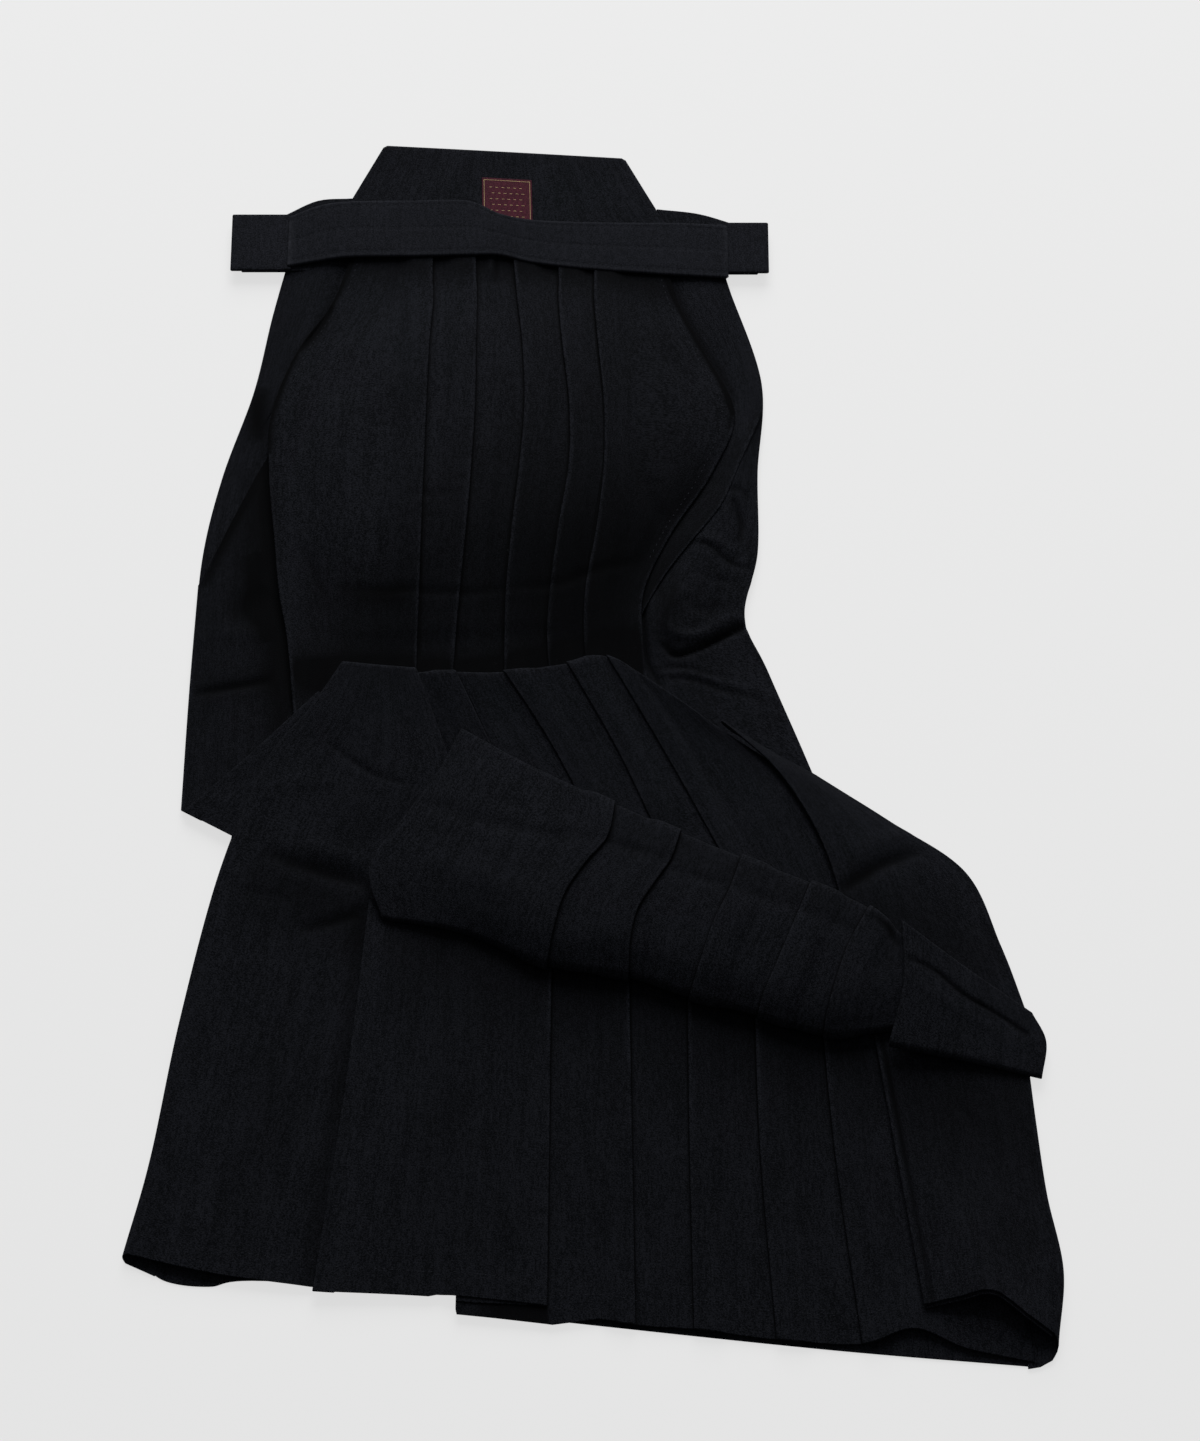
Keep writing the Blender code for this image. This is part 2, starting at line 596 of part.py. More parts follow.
def build_middle_front(cloth, group):
    lines = table_lines(MIDDLE_FRONT)
    under = UPPER_UNDER
    radii = (RIDGE_BEND,) * len(lines)
    left = (
        [(0, 0.0, -INNER_TUCK, 0.0), (0, 0.0, 0.0, 0.0)] + pleat(1, FACES_RIGHT, under)
        + left_end(2, under)
    )
    right = (
        right_start(2, under) + pleat(3, FACES_LEFT, under) + pleat(4, FACES_LEFT, under)
        + [(k, 0.0, 0.0, 0.0) for k in (5, 6, 7)]
    )
    stations = top_fold(FOLD_TUCK) + run(SECTIONS["front_middle"])
    for name, path in (("front_middle_left", left), ("front_middle_right", right)):
        wall_object(name, cloth_grid(lines, path, stations, top_radii=radii), CLOTH_WALL, cloth, group)


def build_strip_front(cloth, group):
    lines = table_lines(STRIP_FRONT)
    under = LOWER_UNDER
    left = (
        side_panel(0) + pleat(2, FACES_RIGHT, under) + pleat(3, FACES_RIGHT, under)
        + left_end(4, under)
    )
    right = (
        right_start(4, under) + pleat(5, FACES_LEFT, under) + pleat(6, FACES_LEFT, under)
        + [(7, 0.0, 0.0, 0.0)]
    )
    stations = top_fold(FOLD_TUCK) + run(SECTIONS["front_strip"]) + low_fold(FOLD_TUCK)
    for name, path in (("front_strip_left", left), ("front_strip_right", right)):
        grid = cloth_grid(lines, path, stations, STRIP_TOP_BEND, STRIP_LOW_BEND)
        wall_object(name, grid, CLOTH_WALL, cloth, group)


def build_lower_front(cloth, group):
    lines = table_lines(LOWER_FRONT)
    under = LOWER_UNDER
    rest = pleat(3, FACES_RIGHT, under) + left_end(4, under)
    left = side_panel(0) + pleat(2, FACES_RIGHT, DEEP_UNDER) + rest
    right = (
        right_start(4, under) + pleat(5, FACES_LEFT, under) + pleat(6, FACES_LEFT, under)
        + [(k, 0.0, 0.0, 0.0) for k in (7, 8, 9)]
    )
    behind = len(side_panel(0)) + 2 + FOLD_STEPS
    deep_fold = slice(behind + 1, behind + 2 + FOLD_STEPS)
    hem_steps = np.zeros(len(left))
    hem_steps[:behind] = -HEM_STEP
    hem_steps[deep_fold] = DEEP_DROP
    stations = run(SECTIONS["front_lower"])
    grid = cloth_grid(lines, left, stations, hem_steps=hem_steps)
    wall_object("front_lower_left", grid, CLOTH_WALL, cloth, group)
    wall_object("front_lower_right", cloth_grid(lines, right, stations), CLOTH_WALL, cloth, group)


def build_sides(cloth, group):
    rows = {name: run(count) for name, count in SECTIONS.items()}
    sheet("side_left_upper", SIDE_LEFT_UPPER, rows["side_left_upper"], cloth, group, fold_left=EDGE_TUCK)
    sheet("return_left", RETURN_LEFT, rows["return_left"], cloth, group, fold_left=EDGE_TUCK)
    stations = top_fold(FOLD_TUCK) + rows["side_left_lower"]
    sheet("side_left_lower", SIDE_LEFT_LOWER, stations, cloth, group,
          fold_left=EDGE_TUCK, fold_right=INNER_TUCK, top_radii=SIDE_LEFT_BEND)
    sheet("side_right_upper", SIDE_RIGHT_UPPER, rows["side_right_upper"], cloth, group,
          fold_right=EDGE_TUCK)
    stations = top_fold(SHORT_TUCK) + rows["side_right_middle"]
    sheet("side_right_middle", SIDE_RIGHT_MIDDLE, stations, cloth, group,
          fold_left=EDGE_TUCK, fold_right=EDGE_TUCK, top_radii=SIDE_MIDDLE_BEND)
    stations = top_fold(SHORT_TUCK) + rows["side_right_strip"] + low_fold(END_TUCK)
    sheet("side_right_strip", SIDE_RIGHT_STRIP, stations, cloth, group,
          fold_left=EDGE_TUCK, top_radii=SIDE_STRIP_TOP_BEND, low_radii=SIDE_STRIP_LOW_BEND)
    sheet("side_right_lower", SIDE_RIGHT_LOWER, rows["side_right_lower"], cloth, group,
          fold_left=EDGE_TUCK, fold_right=EDGE_TUCK, right_radii=(LAYER / 2, HEM_LOOP))


def build_back(cloth, group):
    for name, table in (
        ("back_upper_left", BACK_UPPER_LEFT), ("back_upper_right", BACK_UPPER_RIGHT),
        ("back_lower_left", BACK_LOWER_LEFT), ("back_lower_right", BACK_LOWER_RIGHT),
    ):
        lines = flat_lines(table)
        path = [(k, 0.0, 0.0, 0.0) for k in range(len(lines))]
        wall_object(name, cloth_grid(lines, path, run(SECTIONS[name])), BACK_WALL, cloth, group)


def build_hidden_layers(cloth, group):
    for name, lines in (
        ("upper", upper_lines()),
        ("middle", [np.array(MIDDLE_CORE_EDGE)] + table_lines(MIDDLE_FRONT)),
        ("strip", table_lines(STRIP_FRONT)),
        ("lower", table_lines(LOWER_FRONT)[:LOWER_CORE_LINES]),
    ):
        hidden_layers(name, lines, cloth, group)


def build_waist(cloth, maroon, group):
    band = np.array([[(x, y + half, z), (x, y - half, z)] for x, y, z, half in WAISTBAND])
    wall_object("front_waistband", band, BAND_THICK, cloth, group, bevel=BAND_ROUND)
    board = cloth_grid(table_lines(BACK_BOARD), panel_path(0, 1), run(SECTIONS["koshiita"]))
    wall_object("koshiita", board, BOARD_THICK, cloth, group, bevel=BOARD_ROUND)
    label = cloth_grid(table_lines(LABEL), panel_path(0, 1), run(SECTIONS["label"]))
    wall_object("label", label, LABEL_THICK, maroon, group)
    for name, tie in TIE_FOLDS.items():
        build_tie_fold(name, tie, cloth, group)
    for name, table in (("back_tie_left", BACK_TIE_LEFT), ("back_tie_right", BACK_TIE_RIGHT)):
        stations = top_fold(FOLD_TUCK) + run(SECTIONS["back_tie"])
        grid = cloth_grid(table_lines(table), panel_path(0, 2), stations, top_radii=BACK_TIE_BEND)
        wall_object(name, grid, CLOTH_WALL, cloth, group)


def build_tie_fold(name, tie, cloth, group):
    """Tie folded back on itself beside the band: three layers, one over the other."""
    side = 1 if tie["outer"] > tie["inner"] else -1
    inner, outer = tie["inner"], tie["outer"]
    hidden = inner - side * TIE_HIDDEN
    section = [(inner, TIE_TOP)]
    for angle in np.radians(np.linspace(90, -90, FOLD_STEPS + 2)):
        x = outer + side * TIE_BEND * (math.cos(angle) - 1)
        section.append((x, TIE_TOP + TIE_BEND * (math.sin(angle) - 1)))
    for angle in np.radians(np.linspace(90, 270, FOLD_STEPS + 2)):
        x = hidden + side * TIE_BEND * (1 + math.cos(angle))
        section.append((x, TIE_TOP + TIE_BEND * (math.sin(angle) - 3)))
    section.append((outer - side * TIE_HIDDEN / 2, TIE_TOP - 4 * TIE_BEND))
    grid = np.array([[(x, y, z) for x, z in section] for y in (tie["high"], tie["low"])])
    wall_object(name, grid, TIE_WALL, cloth, group)


def main():
    clear_scene()
    group = make_collection("hakama")
    cloth = make_material("navy_cloth", NAVY, 0.9)
    maroon = make_material("maroon_label", MAROON, 0.7)
    build_waist(cloth, maroon, group)
    build_upper_front(cloth, group)
    build_middle_front(cloth, group)
    build_strip_front(cloth, group)
    build_lower_front(cloth, group)
    build_sides(cloth, group)
    build_back(cloth, group)
    build_hidden_layers(cloth, group)


main()
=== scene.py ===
import math

import bpy
import numpy as np
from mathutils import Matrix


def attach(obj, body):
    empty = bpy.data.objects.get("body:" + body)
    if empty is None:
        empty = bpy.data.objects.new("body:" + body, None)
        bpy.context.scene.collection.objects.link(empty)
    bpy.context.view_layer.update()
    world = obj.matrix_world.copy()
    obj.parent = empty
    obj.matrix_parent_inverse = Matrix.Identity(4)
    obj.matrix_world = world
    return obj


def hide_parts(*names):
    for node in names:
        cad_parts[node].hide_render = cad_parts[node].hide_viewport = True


# Hakama laid on a flat surface, folded back on itself twice across its length.
# Tables are in millimetres, x to the right, y towards the waist, z up from the surface.
# Every line runs down the cloth from the waist.

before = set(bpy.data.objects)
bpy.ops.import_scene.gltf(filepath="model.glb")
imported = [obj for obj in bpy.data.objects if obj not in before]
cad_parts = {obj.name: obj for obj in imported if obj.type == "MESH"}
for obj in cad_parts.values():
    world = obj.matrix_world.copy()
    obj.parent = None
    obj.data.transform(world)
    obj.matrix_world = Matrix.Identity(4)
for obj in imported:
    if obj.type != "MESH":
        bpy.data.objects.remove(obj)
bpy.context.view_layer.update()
mm = 0.001
tableMiddle = np.array([-4.6, 1.2, 0.0])  # middle of the outline in the tables' frame
print("frame loaded:", len(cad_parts), "nodes")

camera = {
    "target": (0.0046, -0.0012, 0.0),
    "distance": 3.0,
    "elevation": 65.0,
    "lens": 107.0,
    "sensor": 36.0,
    "clipEnd": 50.0,
}
light = {
    "keyPlace": (0.05, 3.2, 2.1),  # a broad lamp beyond the waist
    "keyAim": (0.0, 0.0, 0.0),
    "keySize": 2.6,
    "keyPower": 228.0,
    "sunStrength": 0.42,    # a soft even light from the waist side
    "sunElevation": 55.0,
    "sunSpread": 90.0,
    "frontStrength": 0.10,  # a weak even light from the hem side
    "world": 0.15,
    "worldColour": (0.97, 0.98, 1.0, 1.0),
}
floorLook = {
    "size": 8.0,
    "height": -0.0003,
    "colour": (0.12, 0.12, 0.12, 1.0),
    "roughness": 0.9,
    "glow": 0.68,
}

cloth = {
    "wall": 0.75,           # thickness of the pleated cloth
    "layer": 1.15,          # distance between the middles of two touching layers
    "backWall": 1.1,
    "rowStep": 3.0,         # spacing of sections along the cloth
    "panelStep": 3.4,       # spacing of points across a panel
    "sideStep": 1.8,        # both spacings on the crumpled sides
    "foldSteps": 6,         # straight pieces in a half-round fold
    "rollSteps": 10,        # the same in a fold across the garment
    "edgeTuck": 14.0,       # cloth turned under at an edge
    "innerTuck": 10.0,
    "foldTuck": 12.0,
    "reach": 1.0,           # flat length of a pleat's top layer beyond the fold beneath
    "rise": 12.0,           # length over which a panel settles beside a pleat
    "rest": 0.15,
    "facingWall": 0.6,
    "facingRadius": 0.42,
    "sharpAngle": 42.0,     # degrees; edges that turn further stay sharp
    "lineSteps": 41,        # points for a line's length
    "creaseSteps": 25,      # points along a crease
}
pleatShape = {
    "run": (0.6, 0.3),          # points between a pleat's rise and its fold
    "beforeFold": (2.0, 0.8),
    # lighter just before a fold: pressing wear and painted highlight
    "foldWearAndPaintedLight": (0.12, 0.6),
    "hollowAt": (-2.0, -0.6, 0.2, 0.8, 1.4, 2.2, 3.4),
    # darker beside a fold's landing: painted shade in the hollow
    "hollowPaintedShade": (-1.0, -1.0, -1.0, -1.0, -0.75, -0.35, -0.1, 0.0),
}
loose = {
    "from": 3.0, "over": 6.0,   # heights over which the unevenness sets in
    "flat": 1.8,                # a crease sinks no layer from above this height to below it
    "lowest": 0.42,
}
made = {}


# Smooth curve through rows spaced one apart, with slopes m from central differences:
# P(k + t) = (2t^3 - 3t^2 + 1) P[k] + (t^3 - 2t^2 + t) m[k] + (3t^2 - 2t^3) P[k+1] + (t^3 - t^2) m[k+1],
# and straight on beyond its ends. rows is (n, s, d) and place is (s, c).
def smoothRows(rows, place):
    last = len(rows) - 1
    slopes = np.gradient(rows, axis=0)
    inside = np.clip(place, 0.0, last)
    step = np.minimum(inside.astype(int), last - 1)
    across = np.arange(place.shape[0])[:, None]
    t = (inside - step)[..., None]
    a, b = rows[step, across], rows[step + 1, across]
    da, db = slopes[step, across], slopes[step + 1, across]
    point = a * (2 * t**3 - 3 * t**2 + 1) + da * (t**3 - 2 * t**2 + t)
    point = point + b * (3 * t**2 - 2 * t**3) + db * (t**3 - t**2)
    slope = (a - b) * (6 * t**2 - 6 * t) + da * (3 * t**2 - 4 * t + 1) + db * (3 * t**2 - 2 * t)
    return point + slope * (place - inside)[..., None], slope


# One line on its own: points and slopes at shares from 0 to 1.
def alongLine(line, share):
    rows = np.asarray(line, dtype=float)
    place = np.asarray(share, dtype=float)[None] * (len(rows) - 1)
    point, slope = smoothRows(rows[:, None], place)
    return point[0], slope[0]


# Length of a line as seen from above.
def planLength(line):
    plan = alongLine(line, np.linspace(0, 1, cloth["lineSteps"]))[0][:, :2]
    return np.linalg.norm(np.diff(plan, axis=0), axis=1).sum()


# Vectors brought to length 1.
def unit(vectors):
    return vectors / np.maximum(np.linalg.norm(vectors, axis=-1, keepdims=True), 1e-9)


# A path across the cloth is an array with a row per point: line, share of the panel beyond it,
# offset, height, pressing wear and painted light (1 on a fold's crest, lighter as wear and painted
# highlight; -1 in the hollow beside it, darker as painted shade), step at the hem.
def point(line, offset=0.0, height=0.0, hem=0.0):
    return np.array([[line, 0.0, offset, height, 0.0, hem]])


# Half-round fold: offset = centre + radius cos a, height = height + radius sin a.
def halfRound(line, centre, height, radius, start, turn, wornAndPaintedLight=0.0, hem=0.0):
    a = np.radians(start + turn * np.linspace(0, 1, cloth["foldSteps"] + 1))
    # Its top is made lighter: pressing wear and painted highlight.
    crest = wornAndPaintedLight * np.clip(np.sin(a) + 0.35, 0, 1)
    zero = np.zeros_like(a)
    return np.column_stack([
        zero + line, zero, centre + radius * np.cos(a), height + radius * np.sin(a), crest, zero + hem
    ])


# Panel's edge rising onto a pleat: height = rest + (top - rest) s^2 (3 - 2s) with s from 0 to 1,
# then flat to the fold.
def rising(line, start, end, fold, top, hem=0.0):
    s = np.linspace(0, 1, 6)
    flat = [end * share for share in pleatShape["run"]] + [fold - gap for gap in pleatShape["beforeFold"]]
    offset = np.concatenate([start + (end - start) * s, flat])
    rest = cloth["rest"]
    height = np.concatenate([rest + (top - rest) * s**2 * (3 - 2 * s), np.full(4, top)])
    # Lighter just before the fold: pressing wear and painted highlight.
    crest = np.concatenate([np.zeros(8), pleatShape["foldWearAndPaintedLight"]])
    zero = np.zeros(len(offset))
    return np.column_stack([zero + line, zero, offset, height, crest, zero + hem])


def mirrored(path):
    path = path[::-1].copy()
    path[:, 2] *= -1
    return path


# Knife pleat that faces right: top layer, fold, return layer, under fold.
def pleatRight(line, under, hemTop=0.0, hemUnder=0.0, hollow=1.0):
    half = cloth["layer"] / 2
    reach = under + cloth["reach"]
    share = np.linspace(0, 1, 6)[1:-1]
    hemBack = hemTop + 0.35 * (hemUnder - hemTop) * share
    back = np.column_stack([
        np.full(4, line), np.zeros(4), -half + (2 * half - under) * share, np.full(4, 2 * half),
        np.zeros(4), hemBack
    ])
    turned = halfRound(line, half - under, half, half, 90, 180)
    turned[:, 5] = np.linspace(hemBack[-1], hemUnder, len(turned))
    return np.concatenate([
        rising(line, -reach - cloth["rise"], -reach, -half, 4 * half, hemTop),
        halfRound(line, -half, 3 * half, half, 90, -180, 1.0, hemTop),
        back,
        turned,
        landing(line, half - under, hemUnder, hollow),
    ])


# Cloth under a fold and just beyond it, darkened along the fold as painted shade. The hollow along
# the fold widens, and its painted shade deepens, with its hollow value.
def landing(line, start, hem=0.0, hollow=1.0):
    offset = np.array([start * 0.6, *pleatShape["hollowAt"]])
    offset[3:] *= 0.45 + 0.55 * hollow
    dark = np.array(pleatShape["hollowPaintedShade"]) * min(1.0, 0.55 + 0.45 * hollow)
    zero = np.zeros(len(offset))
    return np.column_stack([zero + line, zero, offset, zero, dark, zero + hem])


def pleatLeft(line, under, hollow=1.0):
    return mirrored(pleatRight(line, under, hollow=hollow))


# The middle pleat is the two legs' fronts: the left one ends under the fold of the right one.
def leftEnd(line, under, hollow=1.0):
    before = mirrored(landing(line, -under, hollow=hollow))[:-1]
    return np.concatenate([before, point(line, under)])


def rightStart(line, under):
    half = cloth["layer"] / 2
    reach = under + cloth["reach"]
    return mirrored(np.concatenate([
        rising(line, -reach - cloth["rise"], -reach, -half, 4 * half),
        halfRound(line, -half, 3 * half, half, 90, -180, 1.0),
        point(line, -under / 2, 2 * half),
        point(line, -under, 2 * half),
    ]))


# Edge that faces left and turns under.
def foldLeft(line, tuck, radius=None):
    r = radius or cloth["layer"] / 2
    edge = np.concatenate([
        point(line, tuck, -2 * r),
        point(line, (tuck + r) / 2, -2 * r),
        halfRound(line, r, -r, r, -90, -180, 1.0),
        point(line, r + 0.8),
        point(line, r + 2.0),
    ])
    # Lighter just past the folded edge: pressing wear and painted highlight.
    edge[-2, 4] = 0.5
    return edge


def foldRight(line, tuck, radius=None):
    return mirrored(foldLeft(line, tuck, radius))


# Between two folds the cloth runs from one line to the next: share t, offset (1 - t) a + t b.
def joinPath(parts, spans, step=None):
    path = [parts[0]]
    for before, after in zip(parts, parts[1:]):
        first, last = before[-1], after[0]
        steps = last[0] - first[0]
        for k in range(int(first[0]), int(last[0])):
            count = max(3, int(round(spans[k] / (step or cloth["panelStep"]))))
            t = np.arange(1, count) / count
            a = first[2] if k == first[0] else 0.0
            b = last[2] if k + 1 == last[0] else 0.0
            whole = (k - first[0] + t) / steps
            height = first[3] + (last[3] - first[3]) * whole**2 * (3 - 2 * whole)
            hem = first[5] + (last[5] - first[5]) * whole
            zero = np.zeros_like(t)
            path.append(np.column_stack([zero + k, t, (1 - t) * a + t * b, height, zero, hem]))
            if k + 1 < last[0]:
                done = (k + 1 - first[0]) / steps
                path.append(point(k + 1, 0.0, first[3] + (last[3] - first[3]) * done**2 * (3 - 2 * done),
                                  first[5] + (last[5] - first[5]) * done))
        path.append(after)
    return np.concatenate(path)


# Sections along the cloth, a row each: part (-1 top fold, 0 run, 1 low roll), share, turn, tuck.
def sections(length, topTuck=None, lowTuck=None, step=None):
    count = max(6, int(round(length / (step or cloth["rowStep"]))))
    share = np.linspace(0, 1, count)
    zero = np.zeros(count)
    rows = [np.column_stack([zero, share, zero, zero])]
    turn = np.linspace(math.pi, 0, cloth["rollSteps"] + 1)[:-1]
    if topTuck is not None:
        tuck = np.linspace(topTuck, 0, 4)[:-1]
        rows.insert(0, np.column_stack([np.full(3, -1.0), np.zeros(3), np.full(3, math.pi), tuck]))
        rows.insert(1, np.column_stack([turn * 0 - 1, turn * 0, turn, turn * 0]))
    if lowTuck is not None:
        tuck = np.linspace(0, lowTuck, 4)[1:]
        rows.append(np.column_stack([turn * 0 + 1, turn * 0, -turn[::-1], turn * 0]))
        rows.append(np.column_stack([np.full(3, 1.0), np.zeros(3), np.full(3, -math.pi), tuck]))
    return np.concatenate(rows)


# Each line's point, direction and outward normal at every section. In a fold of radius r
# turned by a, the line is r (1 - sin a) from the fold's edge and r (1 - cos a) below its top.
def lineFrames(lines, rows, topRadii, lowRadii):
    part, value, turn, tuck = rows.T
    points, alongs, normals = [], [], []
    for line, top, low in zip(lines, topRadii, lowRadii):
        length = planLength(line)
        share = top / length + (1 - (top + low) / length) * value
        share = np.where(part < 0, (top * (1 - np.sin(turn)) + tuck) / length, share)
        share = np.where(part > 0, 1 - (low * (1 + np.sin(turn)) + tuck) / length, share)
        radius = np.where(part < 0, top, np.where(part > 0, low, 0.0))
        spot, slope = alongLine(line, share)
        spot[:, 2] += radius * (np.cos(turn) - 1)
        along = unit(slope * [1, 1, 0])
        up = np.array([0.0, 0.0, 1.0])
        points.append(spot)
        alongs.append(along)
        normals.append(up * np.cos(turn)[:, None] - along * np.sin(turn)[:, None])
    return np.array(points), np.array(alongs), np.array(normals)


# Widths between the lines at each section, and each line's distance from the first.
def widthsOf(points):
    width = np.linalg.norm(np.diff(points, axis=0), axis=-1).T
    return width, np.concatenate([np.zeros((len(width), 1)), np.cumsum(width, axis=1)], axis=1)


# Place among the lines, counted in lines, at a distance from the first one.
def placeAt(target, width, start):
    return np.clip((target[..., None] - start[:, None, :-1]) / width[:, None, :], 0, 1).sum(-1)


# Middle surface of a cloth. The path's points stand at distance s = S[k] + share d[k] + offset
# across the lines, where d are the widths between them and S their sum from the left.
def clothGrid(lines, rows, path, topRadii=None, lowRadii=None, endPath=None):
    count = len(lines)
    flat = [0.0] * count
    points, alongs, normals = lineFrames(lines, rows, topRadii or flat, lowRadii or flat)
    width, start = widthsOf(points)
    progress = np.where(rows[:, 0] < 0, 0.0, np.where(rows[:, 0] > 0, 1.0, rows[:, 1]))[:, None]
    blend = path[None] + ((endPath if endPath is not None else path) - path)[None] * progress[..., None]
    line = path[:, 0].astype(int)
    panel = np.minimum(line, count - 2)
    target = start[:, line] + blend[..., 1] * width[:, panel] + blend[..., 2]
    share = placeAt(target, width, start) + np.minimum(target, 0) / width[:, :1]
    share = share + np.maximum(target - start[:, -1:], 0) / width[:, -1:]
    spot = smoothRows(points, share)[0]
    normal = unit(smoothRows(normals, share)[0])
    along = unit(smoothRows(alongs, share)[0])
    hem = (blend[..., 5] * progress**6)[..., None]
    return spot + normal * blend[..., 3:4] + along * hem


def spansOf(lines):
    middle = np.array([alongLine(line, [0.5])[0][0] for line in lines])
    return np.linalg.norm(np.diff(middle, axis=0), axis=1)


def meanLength(lines):
    return float(np.mean([planLength(line) for line in lines]))


# Plain cloth from its first line to its last.
def plainGrid(lines, rows, topRadii=None, finer=1):
    path = joinPath([point(0), point(len(lines) - 1)], spansOf(lines) * finer)
    return clothGrid(lines, rows, path, topRadii)


# Creases: for a line of points with a width on each side and a depth,
# dz = depth exp(-(distance / width)^2) (sin pi s)^taper, s the share of the line's length.
# A crease may also carry painted shade, darker, or painted highlight, lighter, by the same formula.
def creaseHeight(x, y, table):
    lift, wearAndPaintedLight = np.zeros_like(x), np.zeros_like(x)
    for entry in table:
        nodes = alongLine(entry["line"], np.linspace(0, 1, cloth["creaseSteps"]))[0]
        start, end = nodes[:-1], nodes[1:]
        step = end - start
        size = np.linalg.norm(step, axis=1)
        dx, dy = x[..., None] - start[:, 0], y[..., None] - start[:, 1]
        t = np.clip((dx * step[:, 0] + dy * step[:, 1]) / size**2, 0, 1)
        away = np.hypot(dx - t * step[:, 0], dy - t * step[:, 1])
        nearest = away.argmin(axis=-1)[..., None]
        distance = np.take_along_axis(away, nearest, -1)[..., 0]
        cross = step[:, 0] * dy - step[:, 1] * dx
        side = np.take_along_axis(cross, nearest, -1)[..., 0]
        passed = np.concatenate([[0], np.cumsum(size)])[:-1] + t * size
        share = np.take_along_axis(passed, nearest, -1)[..., 0] / size.sum()
        left, right = entry["width"]
        width = np.where(side > 0, left, right)
        taper = np.sin(np.pi * np.clip(share, 0, 1)) ** entry["taper"]
        form = np.exp(-((distance / width) ** 2)) * taper
        lift += entry["depth"] * form
        wearAndPaintedLight += entry["wornAndPaintedLight"] * form
    return lift, wearAndPaintedLight


# Slow unevenness of cloth that lies loosely, in millimetres: 0.34 sin a sin b + 0.13 sin c sin d,
# whose waves are about 180 to 260 mm long, and about 70 to 110 mm.
def unevenness(x, y):
    slow = 0.34 * np.sin(x / 29 + y / 61 + 0.4) * np.sin(y / 41 - x / 93 + 1.1)
    small = 0.13 * np.sin(x / 11.3 + 1.3 * np.sin(y / 37)) * np.sin(y / 17.1 + 0.7 + np.sin(x / 45))
    return slow + small


# Wall closed round its edges: the rims run from the outer to the inner side,
# rim(j) = (1 - f[j]) outer + f[j] inner + bulge[j] outward.
def closedFaces(rowsCount, columns, rims):
    size = rowsCount * columns
    outer = np.arange(size).reshape(rowsCount, columns)
    inner = outer + size
    left = (2 * size + np.arange(rowsCount * rims)).reshape(rowsCount, rims)
    right = left + rowsCount * rims
    base = 2 * size + 2 * rowsCount * rims
    first = (base + np.arange(columns * rims)).reshape(rims, columns)
    last = first + columns * rims

    def quads(g):
        return np.stack([g[:-1, :-1], g[1:, :-1], g[1:, 1:], g[:-1, 1:]], axis=-1).reshape(-1, 4)

    faces = np.concatenate([
        quads(outer),
        quads(inner)[:, ::-1],
        quads(np.column_stack([outer[:, -1], right, inner[:, -1]])),
        quads(np.column_stack([inner[:, 0], left[:, ::-1], outer[:, 0]])),
        quads(np.vstack([inner[0], first[::-1], outer[0]])),
        quads(np.vstack([outer[-1], last, inner[-1]])),
    ]).tolist()
    faces.append([outer[0, 0], *first[:, 0], inner[0, 0], *left[0, ::-1]])
    faces.append([inner[0, -1], *first[::-1, -1], outer[0, -1], *right[0]])
    faces.append([outer[-1, 0], *left[-1], inner[-1, 0], *last[::-1, 0]])
    faces.append([outer[-1, -1], *last[:, -1], inner[-1, -1], *right[-1, ::-1]])
    return [[int(i) for i in face] for face in faces]


def closedPoints(outer, inner, share, bulge):
    middle = (outer + inner) / 2
    f, b = share[:, None], bulge[:, None]

    def rim(o, i, m, beside):
        outward = unit(m - beside)[:, None]
        return o[:, None] * (1 - f) + i[:, None] * f + outward * b

    left = rim(outer[:, 0], inner[:, 0], middle[:, 0], middle[:, 1])
    right = rim(outer[:, -1], inner[:, -1], middle[:, -1], middle[:, -2])
    first = rim(outer[0], inner[0], middle[0], middle[1]).transpose(1, 0, 2)
    last = rim(outer[-1], inner[-1], middle[-1], middle[-2]).transpose(1, 0, 2)
    return np.concatenate([part.reshape(-1, 3) for part in (outer, inner, left, right, first, last)])


def newObject(name, data):
    thing = bpy.data.objects.new(name, data)
    bpy.context.scene.collection.objects.link(thing)
    return thing


def newMaterial(name):
    material = bpy.data.materials.new(name)
    material.use_nodes = True
    return material, material.node_tree, material.node_tree.nodes["Principled BSDF"]


# Value at each grid point carried to the closed wall's points.
def closedValues(values, rims):
    parts = [values, values]
    parts += [np.repeat(values[:, :1], rims, axis=1), np.repeat(values[:, -1:], rims, axis=1)]
    parts += [np.repeat(values[:1], rims, axis=0), np.repeat(values[-1:], rims, axis=0)]
    return np.concatenate([part.reshape(-1) for part in parts])


def closedUv(u, v, rims):
    return np.column_stack([closedValues(values, rims) for values in np.meshgrid(u, v)])


# Unit normal of a grid, its run down the rows crossed with its run across the columns.
def gridNormals(grid):
    down, across = np.gradient(grid, axis=0), np.gradient(grid, axis=1)
    return unit(np.cross(down, across))


# Mean distances along both runs of a grid from its first corner, its full size and its area.
def clothLengths(grid):
    across = np.linalg.norm(np.diff(grid, axis=1), axis=-1)
    along = np.linalg.norm(np.diff(grid, axis=0), axis=-1)
    u = np.concatenate([[0], np.cumsum(across.mean(axis=0))])
    v = np.concatenate([[0], np.cumsum(along.mean(axis=1))])
    size = (across.sum(axis=1).max(), along.sum(axis=0).max())
    down = grid[1:, :-1] - grid[:-1, :-1]
    over = grid[:-1, 1:] - grid[:-1, :-1]
    area = np.linalg.norm(np.cross(down, over), axis=-1).sum()
    return u, v, size, area


